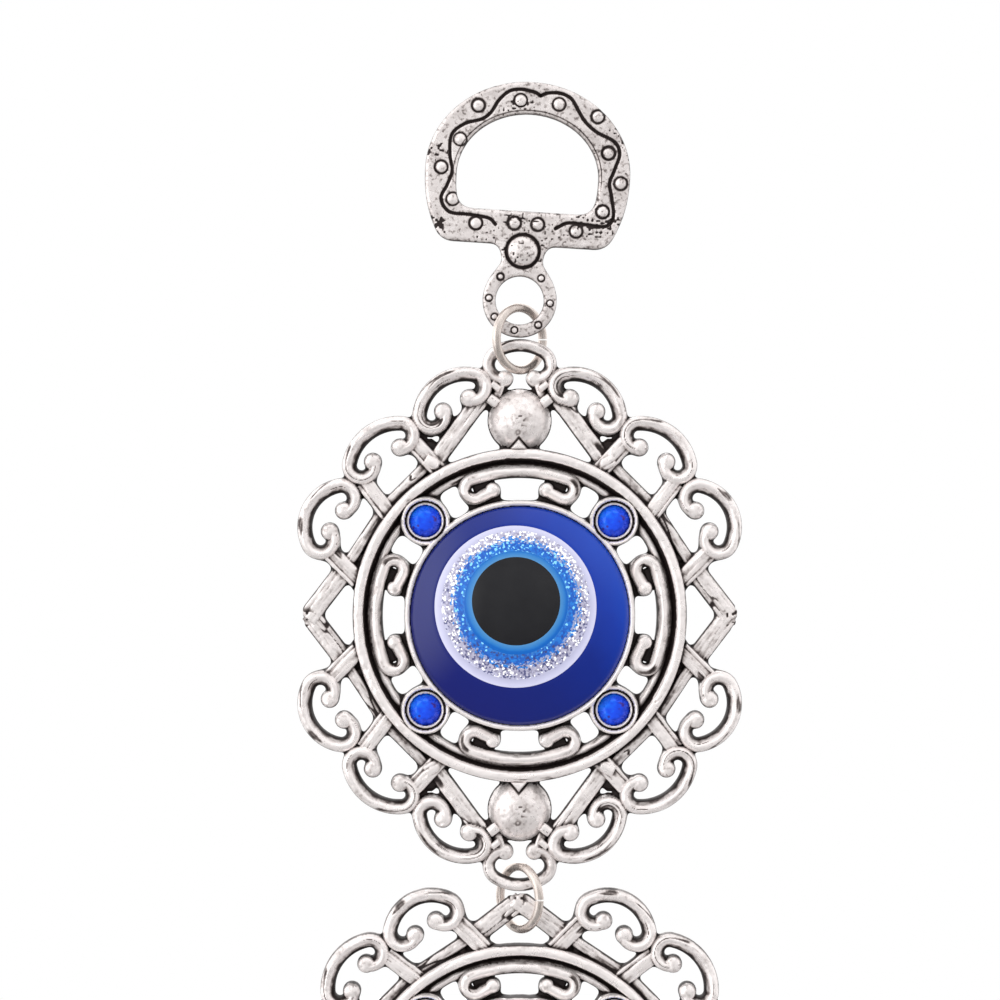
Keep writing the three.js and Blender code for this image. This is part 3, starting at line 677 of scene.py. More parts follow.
# Beads of the bow and the waved line that winds between them, as angle and radius about the
# middle of the D's shoulders. A scratch script worked these out from points read off the photograph
# by eye. The beads are its results, rounded. The wave has fewer points, and some were changed.
BOW_BEADS = [
    (130, 9.3), (99, 8.1), (69, 8.4), (42, 10.05), (17, 9.25), (-3, 10.5), (-24, 9.5), (-47, 8.5),
    (-75, 5.9), (-101, 5.8), (-132, 8.1), (-157, 8.9), (180, 9.7), (157, 8.4),
]
WAVE = [
    (241.5, 6.8), (233, 6.7), (220, 7.9), (210, 9.8), (200, 10.1), (192, 9.1), (182, 8.45), (170, 8.95),
    (157, 9.5), (146, 8.95), (134, 7.9), (125, 7.9), (115, 8.75), (106, 9.35), (98, 9.35), (89, 9.05),
    (84, 8.72),
]
WAVE_RIGHT = [
    (84, 8.72), (79, 9.2), (71, 9.6), (63, 9.6), (54, 8.95), (45, 8.6), (34, 8.95), (23, 10.3), (15, 10.5),
    (5, 9.7), (-4, 9.25), (-14, 9.9), (-24, 10.8), (-31, 10.6), (-38, 8.8), (-48, 7.2), (-60, 7.0),
]
MIDDLE_Y = -6.6
HANGER_WEAR = [(-9.6, -12.9), (8.3, -12.6), (-0.5, -11.7), (-10.4, -4.8), (-6.5, 1.9), (10.6, -2.0)]


def wave_points(nodes, steps=10):
    """A smooth line through points given by angle and radius."""
    points = np.array([polar(radius, angle) for angle, radius in nodes]) + (0, MIDDLE_Y)
    padded = np.concatenate([[2 * points[0] - points[1]], points, [2 * points[-1] - points[-2]]])
    made = []
    for a, b, c, d in zip(padded, padded[1:], padded[2:], padded[3:]):
        for k in range(steps):
            t = k / steps
            bend = (2 * a - 5 * b + 4 * c - d) * t ** 2 + (3 * b - a - 3 * c + d) * t ** 3
            made.append(0.5 * (2 * b + (c - a) * t + bend))
    return np.array(made + [points[-1]])


def hanger_relief():
    """The hanger's casting: plate, waved line, beads, boss and wear."""
    h = HANGER
    relief = Relief((-12.2, -25.8), (12.2, 4.3), 0.06)
    area = np.s_[:, :]
    x, y = relief.x, relief.y
    thickness = h["thickness"]
    loop_reach = np.hypot(x, y + h["loop_drop"])
    plate = np.maximum(inside_polygon(x, y, d_outline()), inside_polygon(x, y, neck_outline()))
    plate = smooth_max(plate, h["loop_radius"] - loop_reach, 1.2)
    opening = inside_polygon(x, y, d_opening())
    edge = np.minimum(plate, -opening)
    edge = np.minimum(edge, loop_reach - h["loop_hole"])
    surface = thickness - 0.10 * (1 - smooth_step(0.0, 0.45, edge))
    surface = surface + 0.02 * value_noise(x, y, 2.2, 21) + 0.015 * value_noise(x, y, 0.5, 22)
    marks = np.zeros(x.shape)
    for nodes in (WAVE, WAVE_RIGHT):
        distance = np.full(x.shape, 1e9)
        for px, py in wave_points(nodes):
            distance = np.minimum(distance, np.hypot(x - px, y - py))
        surface = surface - 0.28 * np.exp(-(distance / 0.15) ** 2)
        marks = np.maximum(marks, np.exp(-(distance / 0.19) ** 4))
    draw = np.random.default_rng(7)
    beads = [(*polar(radius, angle), MIDDLE_Y, 0.64, 0.36) for angle, radius in BOW_BEADS]
    for angle in (133, 49, -2, -50, -97, -143, 180):
        beads.append((*polar(3.42, angle), -h["loop_drop"], 0.33, 0.2))
    for bx, by, cy, radius, rise in beads:
        reach = np.hypot(x - bx, y - by - cy)
        offset = draw.uniform(-0.05, 0.05, 2)
        shifted = np.hypot(x - bx - offset[0], y - by - cy - offset[1])
        width = draw.uniform(0.07, 0.13) * (0.5 + radius)
        moat = np.exp(-((shifted - radius * 1.14) / width) ** 2)
        depth = draw.uniform(0.6, 1.0)
        surface = surface - 0.13 * moat * depth
        marks = np.maximum(marks, moat * depth)
        dome = thickness - 0.05 + rise * np.sqrt(np.clip(1 - (reach / radius) ** 2, 0.0, 1.0))
        surface = np.where(reach < radius, np.maximum(surface, dome), surface)
    reach = np.hypot(x, y + h["boss_drop"])
    moat = np.exp(-((reach - h["boss_radius"] * 1.05) / 0.17) ** 2)
    surface = surface - 0.22 * moat
    marks = np.maximum(marks, moat)
    dome = thickness - 0.1 + 1.0 * np.sqrt(np.clip(1 - (reach / h["boss_radius"]) ** 2, 0.0, 1.0))
    surface = np.where(reach < h["boss_radius"], np.maximum(surface, dome), surface)
    hem = np.exp(-((-opening - 0.36) / 0.07) ** 2) * smooth_step(-9.5, -6.0, y)
    surface = surface - 0.08 * hem - 0.18 * (1 - smooth_step(0.0, 0.32, -opening))
    marks = np.maximum(marks, 0.45 * hem)
    patches = sum(np.exp(-(((x - px) / 1.7) ** 2 + ((y - py) / 1.1) ** 2)) for px, py in HANGER_WEAR)
    grains = value_noise(x, y, 0.26, 23) * 0.6 + value_noise(x, y, 2.4, 24) * 0.4
    pits = smooth_step(0.50, 0.78, grains + 0.55 * np.minimum(patches, 1.0))
    surface = surface - 0.07 * pits
    relief.add(area, edge, surface, web=0)
    relief.marks = np.maximum(marks, 0.62 * pits)
    return relief


# ---- materials ---------------------------------------------------------------------------------
class Shader:
    """A node material with one principled shader, built up link by link."""

    def __init__(self, name, **values):
        self.material = bpy.data.materials.new(name)
        self.material.use_nodes = True
        self.nodes = self.material.node_tree.nodes
        self.links = self.material.node_tree.links
        self.shader = self.nodes["Principled BSDF"]
        for socket, value in values.items():
            self.shader.inputs[socket.replace("_", " ")].default_value = value
        self.place = self.nodes.new("ShaderNodeTexCoord").outputs["Object"]

    def link(self, source, target):
        self.links.new(source, target)

    def noise(self, scale, detail=3.0, roughness=0.55, stretch=None):
        node = self.nodes.new("ShaderNodeTexNoise")
        node.inputs["Scale"].default_value = scale
        node.inputs["Detail"].default_value = detail
        node.inputs["Roughness"].default_value = roughness
        source = self.place
        if stretch:
            mapping = self.nodes.new("ShaderNodeMapping")
            mapping.inputs["Scale"].default_value = stretch
            self.link(self.place, mapping.inputs["Vector"])
            source = mapping.outputs["Vector"]
        self.link(source, node.inputs["Vector"])
        return node.outputs["Fac"]

    def cells(self, scale):
        """A random colour for each small cell."""
        node = self.nodes.new("ShaderNodeTexVoronoi")
        node.inputs["Scale"].default_value = scale
        self.link(self.place, node.inputs["Vector"])
        return node.outputs["Color"]

    def slope(self, dx, dy):
        """Position along a direction in the face plane, in metres from the piece's own origin."""
        split = self.nodes.new("ShaderNodeSeparateXYZ")
        self.link(self.place, split.inputs[0])
        across = self.math("MULTIPLY", split.outputs["X"], dx)
        return self.math("MULTIPLY_ADD", split.outputs["Y"], dy, across)

    def radius(self, centre):
        """Distance in millimetres from a point of the face plane."""
        split = self.nodes.new("ShaderNodeSeparateXYZ")
        self.link(self.place, split.inputs[0])
        dx = self.math("MULTIPLY_ADD", split.outputs["X"], 1000.0, -centre[0])
        dy = self.math("MULTIPLY_ADD", split.outputs["Y"], 1000.0, -centre[1])
        return self.math("SQRT", self.math("MULTIPLY_ADD", dx, dx, self.math("MULTIPLY", dy, dy)))

    def math(self, operation, a, b=0.0, c=0.0):
        node = self.nodes.new("ShaderNodeMath")
        node.operation = operation
        for socket, value in zip(node.inputs, (a, b, c)):
            if isinstance(value, (int, float)):
                socket.default_value = value
            else:
                self.link(value, socket)
        return node.outputs[0]

    def share(self, value, start, end):
        """Rises from 0 to 1 as a value goes from start to end."""
        node = self.nodes.new("ShaderNodeMapRange")
        node.inputs["From Min"].default_value = start
        node.inputs["From Max"].default_value = end
        self.link(value, node.inputs["Value"])
        return node.outputs["Result"]

    def facing(self):
        """How much a surface looks forwards or back, from the piece's own normal."""
        node = self.nodes.new("ShaderNodeTexCoord")
        split = self.nodes.new("ShaderNodeSeparateXYZ")
        self.link(node.outputs["Normal"], split.inputs[0])
        return split.outputs["Z"]

    def attribute(self, name):
        node = self.nodes.new("ShaderNodeAttribute")
        node.attribute_name = name
        return node.outputs["Fac"]

    def ramp(self, source, stops):
        node = self.nodes.new("ShaderNodeValToRGB")
        elements = node.color_ramp.elements
        while len(elements) < len(stops):
            elements.new(0.5)
        for element, (position, colour) in zip(elements, stops):
            element.position = position
            element.color = (*colour, 1.0) if not isinstance(colour, float) else (colour, colour, colour, 1.0)
        self.link(source, node.inputs["Fac"])
        return node.outputs["Color"]

    def mix(self, share, a, b):
        node = self.nodes.new("ShaderNodeMix")
        node.data_type = "RGBA"
        for socket, value in ((node.inputs[0], share), (node.inputs[6], a), (node.inputs[7], b)):
            if isinstance(value, tuple):
                socket.default_value = (*value, 1.0)
            elif isinstance(value, (int, float)):
                socket.default_value = value
            else:
                self.link(value, socket)
        return node.outputs[2]

    def bump(self, source, strength, distance):
        node = self.nodes.new("ShaderNodeBump")
        node.inputs["Strength"].default_value = strength
        node.inputs["Distance"].default_value = distance
        self.link(source, node.inputs["Height"])
        self.link(node.outputs["Normal"], self.shader.inputs["Normal"])

    def set(self, socket, source):
        self.link(source, self.shader.inputs[socket])


def antique_silver(name, specks):
    """Antique silver: bright crowns, streaky greys, black left in the recesses with painted crevice shade
    over it, and painted shade on surfaces that face sideways.
    """
    s = Shader(name)
    broad = s.noise(160.0, 4.0, 0.6)
    streak = s.noise(700.0, 5.0, 0.7)
    fine = s.noise(3600.0, 3.0, 0.6)
    front = s.math("GREATER_THAN", s.facing(), -0.5)
    mottling = s.math("MULTIPLY_ADD", front, 0.24, 0.18)
    level = s.math("MULTIPLY_ADD", front, -0.11, -0.08)
    # The darkness attribute holds the oxide with the painted crevice shade and shadow.
    dark = s.math("MULTIPLY_ADD", streak, mottling, s.math("ADD", s.attribute("patina_and_shade"), level))
    dark = s.math("MULTIPLY_ADD", broad, 0.2, s.math("ADD", dark, -0.10))
    # Painted shade on surfaces that face sideways.
    sideways_painted_shade = s.math("SUBTRACT", 0.4, s.math("ABSOLUTE", s.facing()))
    dark = s.math("MULTIPLY_ADD", s.math("MAXIMUM", sideways_painted_shade, 0.0), 0.25, dark)
    spots = s.ramp(s.noise(2300.0, 2.0, 0.5), [(0.52, 0.0), (0.70, 1.0)])
    dark = s.math("MULTIPLY_ADD", spots, specks, dark)
    s.set("Base Color", s.ramp(dark, [
        (0.0, (0.95, 0.89, 0.875)), (0.09, (0.84, 0.78, 0.765)), (0.20, (0.56, 0.505, 0.49)),
        (0.34, (0.17, 0.142, 0.135)), (0.52, (0.022, 0.014, 0.013)),
    ]))
    s.set("Metallic", s.ramp(dark, [(0.1, 0.5), (0.5, 0.3)]))
    rough = s.math("MULTIPLY_ADD", streak, 0.25, 0.17)
    s.set("Roughness", s.math("MULTIPLY_ADD", s.ramp(dark, [(0.15, 0.0), (0.6, 1.0)]), 0.3, rough))
    s.bump(s.math("ADD", fine, s.math("MULTIPLY", streak, 1.5)), 0.4, 0.00005)
    return s.material


def wire_nickel():
    """Drawn wire, slightly warm, with fine scratches."""
    s = Shader("wire_nickel", Metallic=0.8)
    broad = s.noise(300.0, 3.0)
    scratch = s.noise(2600.0, 3.0, 0.6, (1.0, 0.3, 1.0))
    tone = s.math("MULTIPLY_ADD", scratch, 0.5, s.math("MULTIPLY", broad, 0.5))
    s.set("Base Color", s.ramp(tone, [
        (0.30, (0.50, 0.42, 0.38)), (0.5, (0.76, 0.675, 0.625)), (0.68, (0.90, 0.815, 0.765)),
    ]))
    s.set("Roughness", s.math("MULTIPLY_ADD", scratch, 0.25, 0.14))
    s.bump(scratch, 0.25, 0.00004)
    return s.material


def cobalt_glass():
    """Cobalt glass: deep navy below, lighter where light comes through at the upper right."""
    s = Shader("cobalt_glass", Roughness=0.05)
    s.shader.inputs["Specular IOR Level"].default_value = 0.55
    cloud = s.math("MULTIPLY_ADD", s.noise(130.0, 3.0), 0.16, -0.08)
    across = s.math("MULTIPLY_ADD", s.slope(0.82, 0.57), 1000.0 / 26.0, s.math("ADD", cloud, 0.5))
    s.set("Base Color", s.ramp(across, [
        (0.08, (0.006, 0.010, 0.13)), (0.40, (0.004, 0.012, 0.15)), (0.66, (0.002, 0.016, 0.20)),
        (0.82, (0.001, 0.028, 0.31)), (0.95, (0.001, 0.045, 0.40)),
    ]))
    s.bump(s.noise(240.0, 2.0), 0.04, 0.0001)
    return s.material


def flakes(name, stops, inner, outer, sparkle, dark_share, glint):
    """Flakes in clear resin: each cell is one flake with its own brightness, and the brightest are painted
    glints. Near its inner and outer edges the ring takes up the neighbouring colour, flake by flake."""
    s = Shader(name, Coat_Weight=0.3, Coat_Roughness=0.03)
    cells = s.cells(4700.0)
    parts = s.nodes.new("ShaderNodeSeparateColor")
    s.link(cells, parts.inputs["Color"])
    one, two, three = parts.outputs
    colour = s.ramp(one, stops)
    for (centre, start, end), other in (inner, outer):
        edge = s.share(s.radius(centre), start, end)
        taken = s.math("LESS_THAN", two, s.math("MULTIPLY", edge, 0.9))
        colour = s.mix(taken, colour, other)
    # Towards the bottom more flakes are dark and fewer glint.
    lower = s.math("MULTIPLY_ADD", s.slope(0.0, -1.0), 24.0, 0.0)
    dark = s.math("LESS_THAN", three, s.math("ADD", lower, dark_share))
    colour = s.mix(s.math("MULTIPLY", dark, 0.85), colour, (0.035, 0.04, 0.16))
    # Painted glints: the brightest flakes take the glint colour, fewer of them towards the bottom.
    bright = s.math("GREATER_THAN", three, s.math("MULTIPLY_ADD", lower, 0.6, 1.0 - sparkle))
    s.set("Base Color", s.mix(bright, colour, glint))
    s.set("Roughness", s.math("MULTIPLY_ADD", one, 0.3, 0.3))
    s.bump(three, 0.2, 0.00005)
    return s.material


def silver_flakes():
    """Silver glitter, azure at its inner edge and white at its outer one."""
    stops = [(0.0, (0.22, 0.21, 0.32)), (0.45, (0.35, 0.34, 0.47)), (1.0, (0.47, 0.46, 0.58))]
    inner = ((AZURE_CENTRE, 7.5, 6.8), (0.01, 0.19, 0.62))
    outer = ((FLAKE_CENTRE, 7.6, 8.4), (0.46, 0.46, 0.62))
    return flakes("silver_glitter", stops, inner, outer, 0.19, 0.13, (1.0, 1.0, 1.0))


def azure_flakes():
    """Azure glitter, paler towards the silver."""
    stops = [(0.0, (0.001, 0.065, 0.38)), (0.5, (0.001, 0.105, 0.50)), (1.0, (0.006, 0.18, 0.62))]
    inner = ((AZURE_CENTRE, 6.1, 5.6), (0.02, 0.17, 0.52))
    outer = ((AZURE_CENTRE, 6.5, 7.1), (0.28, 0.33, 0.52))
    return flakes("azure_glitter", stops, inner, outer, 0.08, -0.02, (0.22, 0.62, 0.95))


def gloss(name, colours, scale, level=0.5, roughness=0.06):
    """A poured colour under gloss, with faint clouding."""
    s = Shader(name, Roughness=roughness)
    s.shader.inputs["Specular IOR Level"].default_value = level
    s.set("Base Color", s.ramp(s.noise(scale, 3.0), [(0.35, colours[0]), (0.65, colours[1])]))
    s.bump(s.noise(700.0, 2.0), 0.03, 0.00006)
    return s.material


def white_glaze():
    """Milky white that lets the blue through a little more towards its inner edge."""
    s = Shader("white_glaze", Roughness=0.06)
    veil = s.share(s.math("MULTIPLY_ADD", s.noise(700.0), 0.3, s.radius(EYE_CENTRE)), 8.95, 8.2)
    stops = [(0.0, (0.56, 0.56, 0.74)), (1.0, (0.42, 0.42, 0.58))]
    s.set("Base Color", s.ramp(veil, stops))
    s.bump(s.noise(700.0, 2.0), 0.03, 0.00006)
    return s.material


def sky_glaze():
    """Sky blue, deeper towards the outside."""
    s = Shader("sky_glaze", Roughness=0.06)
    veil = s.share(s.math("MULTIPLY_ADD", s.noise(600.0), 0.25, s.radius(PUPIL_CENTRE)), 4.95, 5.75)
    s.set("Base Color", s.ramp(veil, [
        (0.0, (0.075, 0.25, 0.50)), (0.75, (0.02, 0.17, 0.50)), (1.0, (0.004, 0.11, 0.45)),
    ]))
    return s.material


def sapphire():
    """Foil-backed blue, lighter towards the upper left as a painted highlight: each facet throws back a
    little more or less.
    """
    s = Shader("sapphire_stone", Metallic=0.25)
    s.shader.inputs["Specular IOR Level"].default_value = 0.6
    mottle = s.noise(1500.0, 2.0)
    # Painted highlight: the blue grows lighter towards the upper left, with mottling over it.
    tone = s.math("MULTIPLY_ADD", mottle, 0.5, s.math("MULTIPLY_ADD", s.slope(-0.5, 0.85), 110.0, 0.25))
    blues = [(0.25, (0.003, 0.02, 0.42)), (0.5, (0.006, 0.075, 0.86)), (0.72, (0.004, 0.19, 1.0))]
    colour = s.ramp(tone, blues)
    spots = s.ramp(s.noise(1100.0, 1.0), [(0.62, 0.0), (0.67, 1.0)])
    s.set("Base Color", s.mix(s.math("MULTIPLY", spots, 0.75), colour, (0.05, 0.004, 0.14)))
    s.set("Roughness", s.math("MULTIPLY_ADD", tone, 0.1, 0.08))
    return s.material


SILVER = antique_silver("antique_silver", 0.10)
HANGER_SILVER = antique_silver("hanger_silver", 0.22)
NICKEL = wire_nickel()
COBALT = cobalt_glass()
WHITE = white_glaze()
SILVER_GLITTER = silver_flakes()
AZURE_GLITTER = azure_flakes()
SKY = sky_glaze()
BLACK = gloss("black_glaze", ((0.006, 0.006, 0.008), (0.010, 0.010, 0.012)), 300.0)
SAPPHIRE = sapphire()
EPOXY = gloss("epoxy", ((0.5, 0.46, 0.36), (0.66, 0.62, 0.5)), 400.0, 0.5, 0.4)


# ---- eye and stones ----------------------------------------------------------------------------
def dome_height(x, y):
    """Height of the eye's dome."""
    rise = EYE["top"] - EYE["edge"]
    sphere = (EYE["radius"] ** 2 + rise ** 2) / (2 * rise)
    return EYE["top"] - sphere + np.sqrt(np.maximum(sphere ** 2 - x ** 2 - y ** 2, 0.0))


def dome_ring(name, inner, outer, low, matrix, material, around=144, across=14):
    """A ring between two circles, each a centre and a radius, with its face on the eye's dome."""
    (icx, icy), inner_radius = inner
    (ocx, ocy), outer_radius = outer
    angles = 2 * math.pi * np.arange(around) / around
    rows = []
    for k in range(across + 1):
        share = k / across
        ix, iy = icx + inner_radius * np.cos(angles), icy + inner_radius * np.sin(angles)
        ox, oy = ocx + outer_radius * np.cos(angles), ocy + outer_radius * np.sin(angles)
        x = ix * (1 - share) + ox * share
        y = iy * (1 - share) + oy * share
        rows.append(np.stack([x, y, dome_height(x, y)], axis=1))
    bottoms = [row * (1, 1, 0) + (0, 0, low) for row in (rows[-1], rows[0])]
    rings = rows + bottoms
    vertices = np.concatenate(rings)
    faces = []
    count = len(rings)
    for k in range(count):
        after = (k + 1) % count
        for j in range(around):
            turn = (j + 1) % around
            faces.append((k * around + j, after * around + j, after * around + turn, k * around + turn))
    return faces_object(name, vertices, faces, matrix, material)


def stack_faces(rings, around):
    """Faces between rings of points, closed by fans to the two points that follow them."""
    first = rings * around
    last = first - around
    faces = []
    for j in range(around):
        turn = (j + 1) % around
        faces.append((first, j, turn))
        for k in range(rings - 1):
            faces.append((k * around + j, (k + 1) * around + j, (k + 1) * around + turn, k * around + turn))
        faces.append((last + turn, last + j, first + 1))
    return faces


def dome_disc(name, outer, low, matrix, material, around=144, across=24):
    """A full disc with its face on the eye's dome, and a flat underside."""
    (cx, cy), radius = outer
    angles = 2 * math.pi * np.arange(around) / around
    rings = []
    for k in range(1, across + 1):
        x = cx + radius * k / across * np.cos(angles)
        y = cy + radius * k / across * np.sin(angles)
        rings.append(np.stack([x, y, dome_height(x, y)], axis=1))
    rings.append(rings[-1] * (1, 1, 0) + (0, 0, low))
    tops = [(cx, cy, float(dome_height(np.array(cx), np.array(cy)))), (cx, cy, low)]
    vertices = np.concatenate(rings + [np.array(tops)])
    return faces_object(name, vertices, stack_faces(len(rings), around), matrix, material)


def glass_base(name, recess, matrix):
    """The cobalt glass: a domed disc with a round recess for the coloured rings."""
    around = 144
    angles = 2 * math.pi * np.arange(around) / around
    (cx, cy), radius = recess
    rx, ry = cx + radius * np.cos(angles), cy + radius * np.sin(angles)
    gx, gy = EYE["radius"] * np.cos(angles), EYE["radius"] * np.sin(angles)
    rings = [np.stack([rx, ry, np.full(around, EYE["seat"])], axis=1)]
    steps = 12
    for k in range(steps + 1):
        share = k / steps
        x, y = rx * (1 - share) + gx * share, ry * (1 - share) + gy * share
        shoulder = 0.22 * smooth_step(0.90, 1.0, share) + 0.05 * (1 - smooth_step(0.0, 0.06, share))
        rings.append(np.stack([x, y, dome_height(x, y) - shoulder], axis=1))
    rings.append(np.stack([gx, gy, np.full(around, EYE["base"])], axis=1))
    vertices = np.concatenate(rings + [np.array([(cx, cy, EYE["seat"]), (0.0, 0.0, EYE["base"])])])
    return faces_object(name, vertices, stack_faces(len(rings), around), matrix, COBALT)


def cut_stone(name, matrix):
    """A round stone cut with a flat table, star and kite facets above a thin girdle."""
    around = 8
    vertices = []
    rings = ((STONE["radius"], STONE["low"], 0.5), (STONE["radius"], STONE["girdle"], 0.5),
             (STONE["radius"], STONE["girdle"], 0.0), (0.80 * STONE["radius"], STONE["shoulder"], 0.5),
             (0.58 * STONE["radius"], STONE["top"], 0.0))

    def corner(r, z, place):
        turn = 2 * math.pi * place / around
        return r * math.cos(turn), r * math.sin(turn), z

    low, girdle, girdle_between, shoulder, table = (
        [corner(r, z, j + shift) for j in range(around)] for r, z, shift in rings)
    low_between = [(x, y, STONE["low"]) for x, y, _ in girdle_between]
    for ring in (table, shoulder, girdle_between, girdle, low_between, low):
        vertices += ring
    t, s, gb, g, lb, lo = (k * around for k in range(6))
    faces = [tuple(t + j for j in range(around))]
    for j in range(around):
        n = (j + 1) % around
        faces.append((t + j, s + j, t + n))
        faces.append((t + n, s + j, g + j, gb + n))
        faces.append((t + n, gb + n, g + n, s + n))
        faces.append((gb + j, lb + j, lo + j, g + j))
        faces.append((g + j, lo + j, lb + n, gb + n))
    faces.append(tuple(k for j in reversed(range(around)) for k in (lo + j, lb + j)))
    return faces_object(name, vertices, faces, matrix, SAPPHIRE, 5.0)


def medallion(name, body, turn, casting):
    """The pieces of one medallion, upright at the place of its casting in the frame."""
    low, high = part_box(f"{name}_frame")
    matrix = upright(0.0, high[1], (low[2] + high[2]) / 2, turn)

    def finish(piece, slot, *nodes):
        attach(piece, body)
        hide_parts(*(f"{name}_{node}" for node in nodes))

    finish(casting.build(f"{name}_casting", matrix, SILVER), "antique_silver", "frame")
    eye, mid, inner, pupil = EYE_CENTRE, FLAKE_CENTRE, AZURE_CENTRE, PUPIL_CENTRE
    finish(glass_base(f"{name}_glass", (eye, 9.0), matrix), "cobalt_glass", "eye_glass_base")
    seat = EYE["seat"]
    white = dome_ring(f"{name}_white", (mid, 8.25), (eye, 9.0), seat, matrix, WHITE)
    finish(white, "white_glaze", "eye_white_ring")
    silver = dome_ring(f"{name}_silver_flakes", (inner, 6.95), (mid, 8.25), seat, matrix, SILVER_GLITTER)
    finish(silver, "silver_glitter", "eye_glitter_ring")
    azure = dome_ring(f"{name}_azure_flakes", (inner, 5.75), (inner, 6.95), seat, matrix, AZURE_GLITTER)
    finish(azure, "azure_glitter", "eye_azure_ring")
    sky = dome_ring(f"{name}_sky", (pupil, 4.9), (inner, 5.75), seat, matrix, SKY)
    finish(sky, "sky_glaze", "eye_sky_ring")
    finish(dome_disc(f"{name}_iris", (pupil, 4.9), seat, matrix, BLACK), "black_glaze", "eye_pupil")
    for number, angle in enumerate((135, 45, 225, 315), start=1):
        x, y = polar(CUP["distance"] * MM, angle)
        place = matrix @ Matrix.Translation((x, y, 0)) @ Matrix.Rotation(math.radians(7 * number), 4, "Z")
        finish(cut_stone(f"{name}_gem_{number}", place), "sapphire_stone", f"stone_{number}")


# ---- jump rings --------------------------------------------------------------------------------
def jump_ring(name, node, body, skew):
    """An open ring of round wire with cut ends."""
    low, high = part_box(node)
    middle = (low[2] + high[2]) / 2
    around, sides = 180, 24
    vertices = []
    for k in range(around + 1):
        angle = math.radians(RING["slit"] / 2 + (360 - RING["slit"]) * k / around)
        for j in range(sides):
            wire = 2 * math.pi * j / sides
            radius = RING["radius"] + RING["wire"] * math.cos(wire)
            rise = RING["wire"] * math.sin(wire)
            vertices.append((radius * math.cos(angle), radius * math.sin(angle), rise))
    faces = [tuple(range(sides))]
    for k in range(around):
        for j in range(sides):
            turn = (j + 1) % sides
            faces.append((k * sides + j, (k + 1) * sides + j, (k + 1) * sides + turn, k * sides + turn))
    faces.append(tuple(around * sides + j for j in reversed(range(sides))))
    place = upright(0.0, RING["back"] * MM, middle) @ Matrix.Rotation(math.radians(skew), 4, "Y")
    ring = faces_object(name, vertices, faces, place, NICKEL)
    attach(ring, body)
    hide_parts(node)


# ---- pieces ------------------------------------------------------------------------------------
def hanger():
    """The hanger's casting, leaning, with the top of its opening at the origin."""
    lean = math.radians(HANGER["lean"])
    top_x = -HANGER["loop_drop"] * math.sin(lean)
    share = top_x / HANGER["open_half"]
    top_z = HANGER["open_shoulder"] * (1 - math.sqrt(1 - share ** 2)) + top_x * math.sin(lean)
    relief = hanger_relief()
    # The painted crevice shade and oxide, weakened, with the dark marks of grooves, moats and pits.
    plain = relief.patina_and_shade
    relief.patina_and_shade = lambda: np.clip(0.35 * plain() + 0.85 * relief.marks + 0.085, -1.0, 1.0)
    matrix = upright(top_x * MM, HANGER["back"] * MM, top_z * MM, HANGER["lean"])
    piece = relief.build("hanger_casting", matrix, HANGER_SILVER)
    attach(piece, "hanger")
    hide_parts("hanger")


hanger()
casting = medallion_relief()
medallion("upper", "upper_medallion", 0.0, casting)
medallion("lower", "lower_medallion", -90.0, casting)
jump_ring("upper_ring_wire", "upper_jump_ring", "upper_ring", 42.0)
jump_ring("lower_ring_wire", "lower_jump_ring", "lower_ring", -52.0)
for node in ("upper_eye_adhesive", "lower_eye_adhesive"):
    frame["nodes"][node].data.materials.clear()
    frame["nodes"][node].data.materials.append(EPOXY)


# ---- studio ------------------------------------------------------------------------------------
def floor():
    """A pale round floor below the ornament."""
    radius, height = 500.0, -165.0
    around = 96
    vertices = []
    for share, drop in ((1.0, 0.0), (1.01, -3.0)):
        for k in range(around):
            x, y = polar(radius * share, 360 * k / around)
            vertices.append((x, y, height + drop))
    faces = [tuple(range(around))]
    faces += [(k, k + around, (k + 1) % around + around, (k + 1) % around) for k in range(around)]
    s = Shader("floor_paper", Roughness=0.8)
    s.set("Base Color", s.ramp(s.noise(40.0), [(0.4, (0.86, 0.86, 0.86)), (0.6, (0.89, 0.89, 0.885))]))
    made = faces_object("floor", vertices, faces, Matrix.Identity(4), s.material)
    made.visible_glossy = False


def area_light(name, place, aim, size, energy):
    """A soft lamp that lights surfaces but is not mirrored in them."""
    light = bpy.data.lights.new(name, "AREA")
    light.size = size
    light.energy = energy
    lamp = bpy.data.objects.new(name, light)
    lamp.location = place
    direction = Matrix.Translation(place).inverted() @ Matrix.Translation(aim)
    lamp.rotation_euler = direction.translation.to_track_quat("-Z", "Y").to_euler()
    lamp.visible_glossy = False
    bpy.context.scene.collection.objects.link(lamp)


# Soft panels of the light tent: direction, strength, and the cosines where each starts and fills.
PANELS = [
    ((-0.86, -0.50, 0.12), 1.15, 0.70, 0.97),
    ((0.55, -0.25, 0.80), 0.38, 0.60, 0.97),
    ((-0.25, -0.35, 0.90), 0.45, 0.75, 0.98),
    ((0.90, 0.30, -0.20), 0.50, 0.60, 0.98),
    ((-0.60, 0.78, 0.25), 0.90, 0.50, 0.95),
    ((0.30, 0.85, 0.45), 0.60, 0.60, 0.95),
]


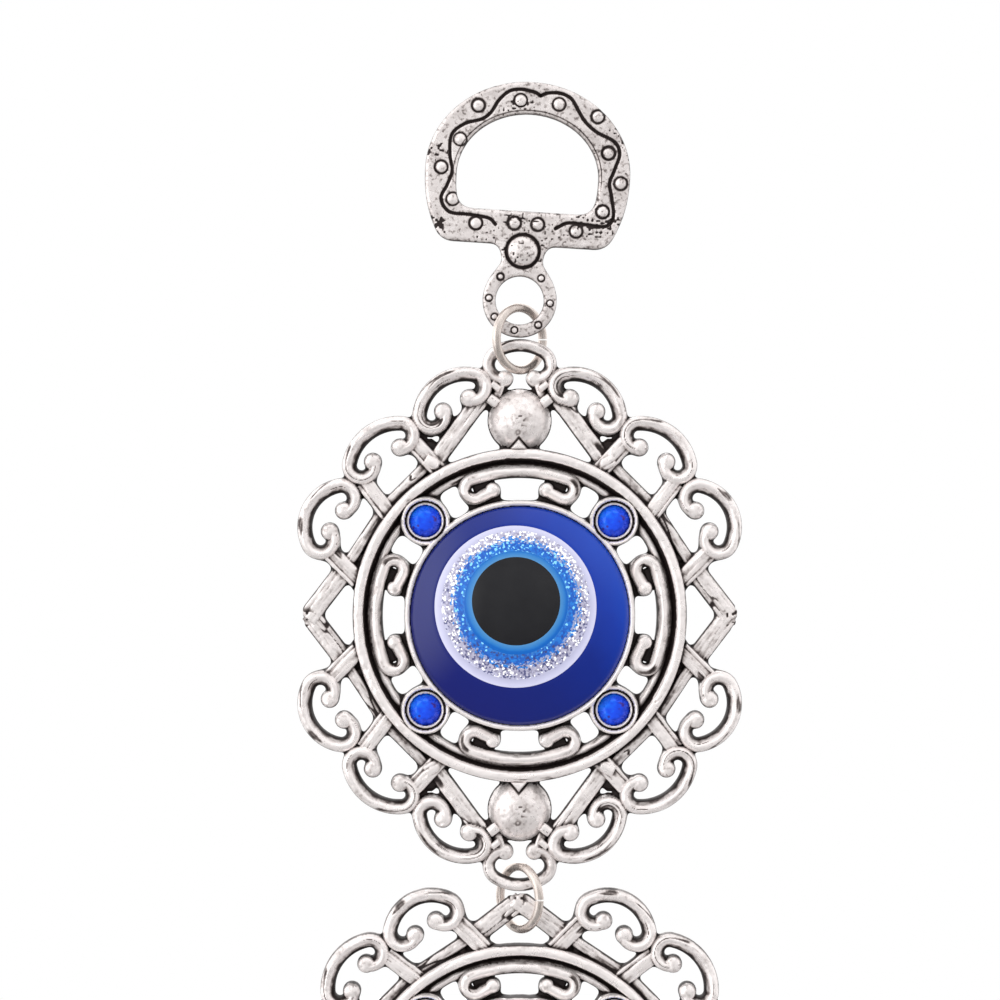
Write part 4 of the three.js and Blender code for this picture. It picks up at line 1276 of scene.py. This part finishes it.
def world():
    """A light tent with soft panels, dimmer low down. The camera itself sees plain white."""
    made = bpy.data.worlds.new("tent")
    bpy.context.scene.world = made
    made.use_nodes = True
    nodes, links = made.node_tree.nodes, made.node_tree.links
    nodes.clear()
    place = nodes.new("ShaderNodeTexCoord")

    def mapped(source, low, high, dim, bright):
        node = nodes.new("ShaderNodeMapRange")
        node.interpolation_type = "SMOOTHSTEP"
        for socket, value in zip(("From Min", "From Max", "To Min", "To Max"), (low, high, dim, bright)):
            node.inputs[socket].default_value = value
        links.new(source, node.inputs["Value"])
        return node.outputs["Result"]

    split = nodes.new("ShaderNodeSeparateXYZ")
    links.new(place.outputs["Generated"], split.inputs[0])
    total = mapped(split.outputs["Z"], -0.55, 0.35, 0.22, 0.56)
    for direction, strength, start, full in PANELS:
        toward = nodes.new("ShaderNodeVectorMath")
        toward.operation = "DOT_PRODUCT"
        length = math.sqrt(sum(part * part for part in direction))
        toward.inputs[1].default_value = [part / length for part in direction]
        links.new(place.outputs["Generated"], toward.inputs[0])
        add = nodes.new("ShaderNodeMath")
        links.new(total, add.inputs[0])
        links.new(mapped(toward.outputs["Value"], start, full, 0.0, strength), add.inputs[1])
        total = add.outputs[0]
    path = nodes.new("ShaderNodeLightPath")
    mix = nodes.new("ShaderNodeMix")
    links.new(path.outputs["Is Camera Ray"], mix.inputs[0])
    links.new(total, mix.inputs[2])
    mix.inputs[3].default_value = 1.0
    background = nodes.new("ShaderNodeBackground")
    links.new(mix.outputs[0], background.inputs["Color"])
    output = nodes.new("ShaderNodeOutputWorld")
    links.new(background.outputs[0], output.inputs["Surface"])


def camera():
    """Straight on, framing the hanger, the upper medallion and the top of the lower one."""
    distance, width = 0.42, 0.112
    lens = bpy.data.cameras.new("camera")
    lens.sensor_width = 36.0
    lens.lens = 36.0 * distance / width
    lens.clip_start = 0.01
    made = bpy.data.objects.new("camera", lens)
    low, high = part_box("upper_frame")
    centre = (low[2] + high[2]) / 2
    made.location = (-0.0022, -distance, centre + 0.0129)
    made.rotation_euler = (math.radians(90), 0, 0)
    bpy.context.scene.collection.objects.link(made)
    bpy.context.scene.camera = made


floor()
world()
middle = (0.0, 0.0, -0.06)
area_light("key", (-0.40, -0.80, 0.50), middle, 0.6, 3.6)
area_light("fill", (0.60, -0.70, 0.05), middle, 0.7, 1.7)
area_light("rear", (0.25, 0.85, 0.35), middle, 0.7, 3.0)
camera()
bpy.context.scene.view_settings.view_transform = "Standard"
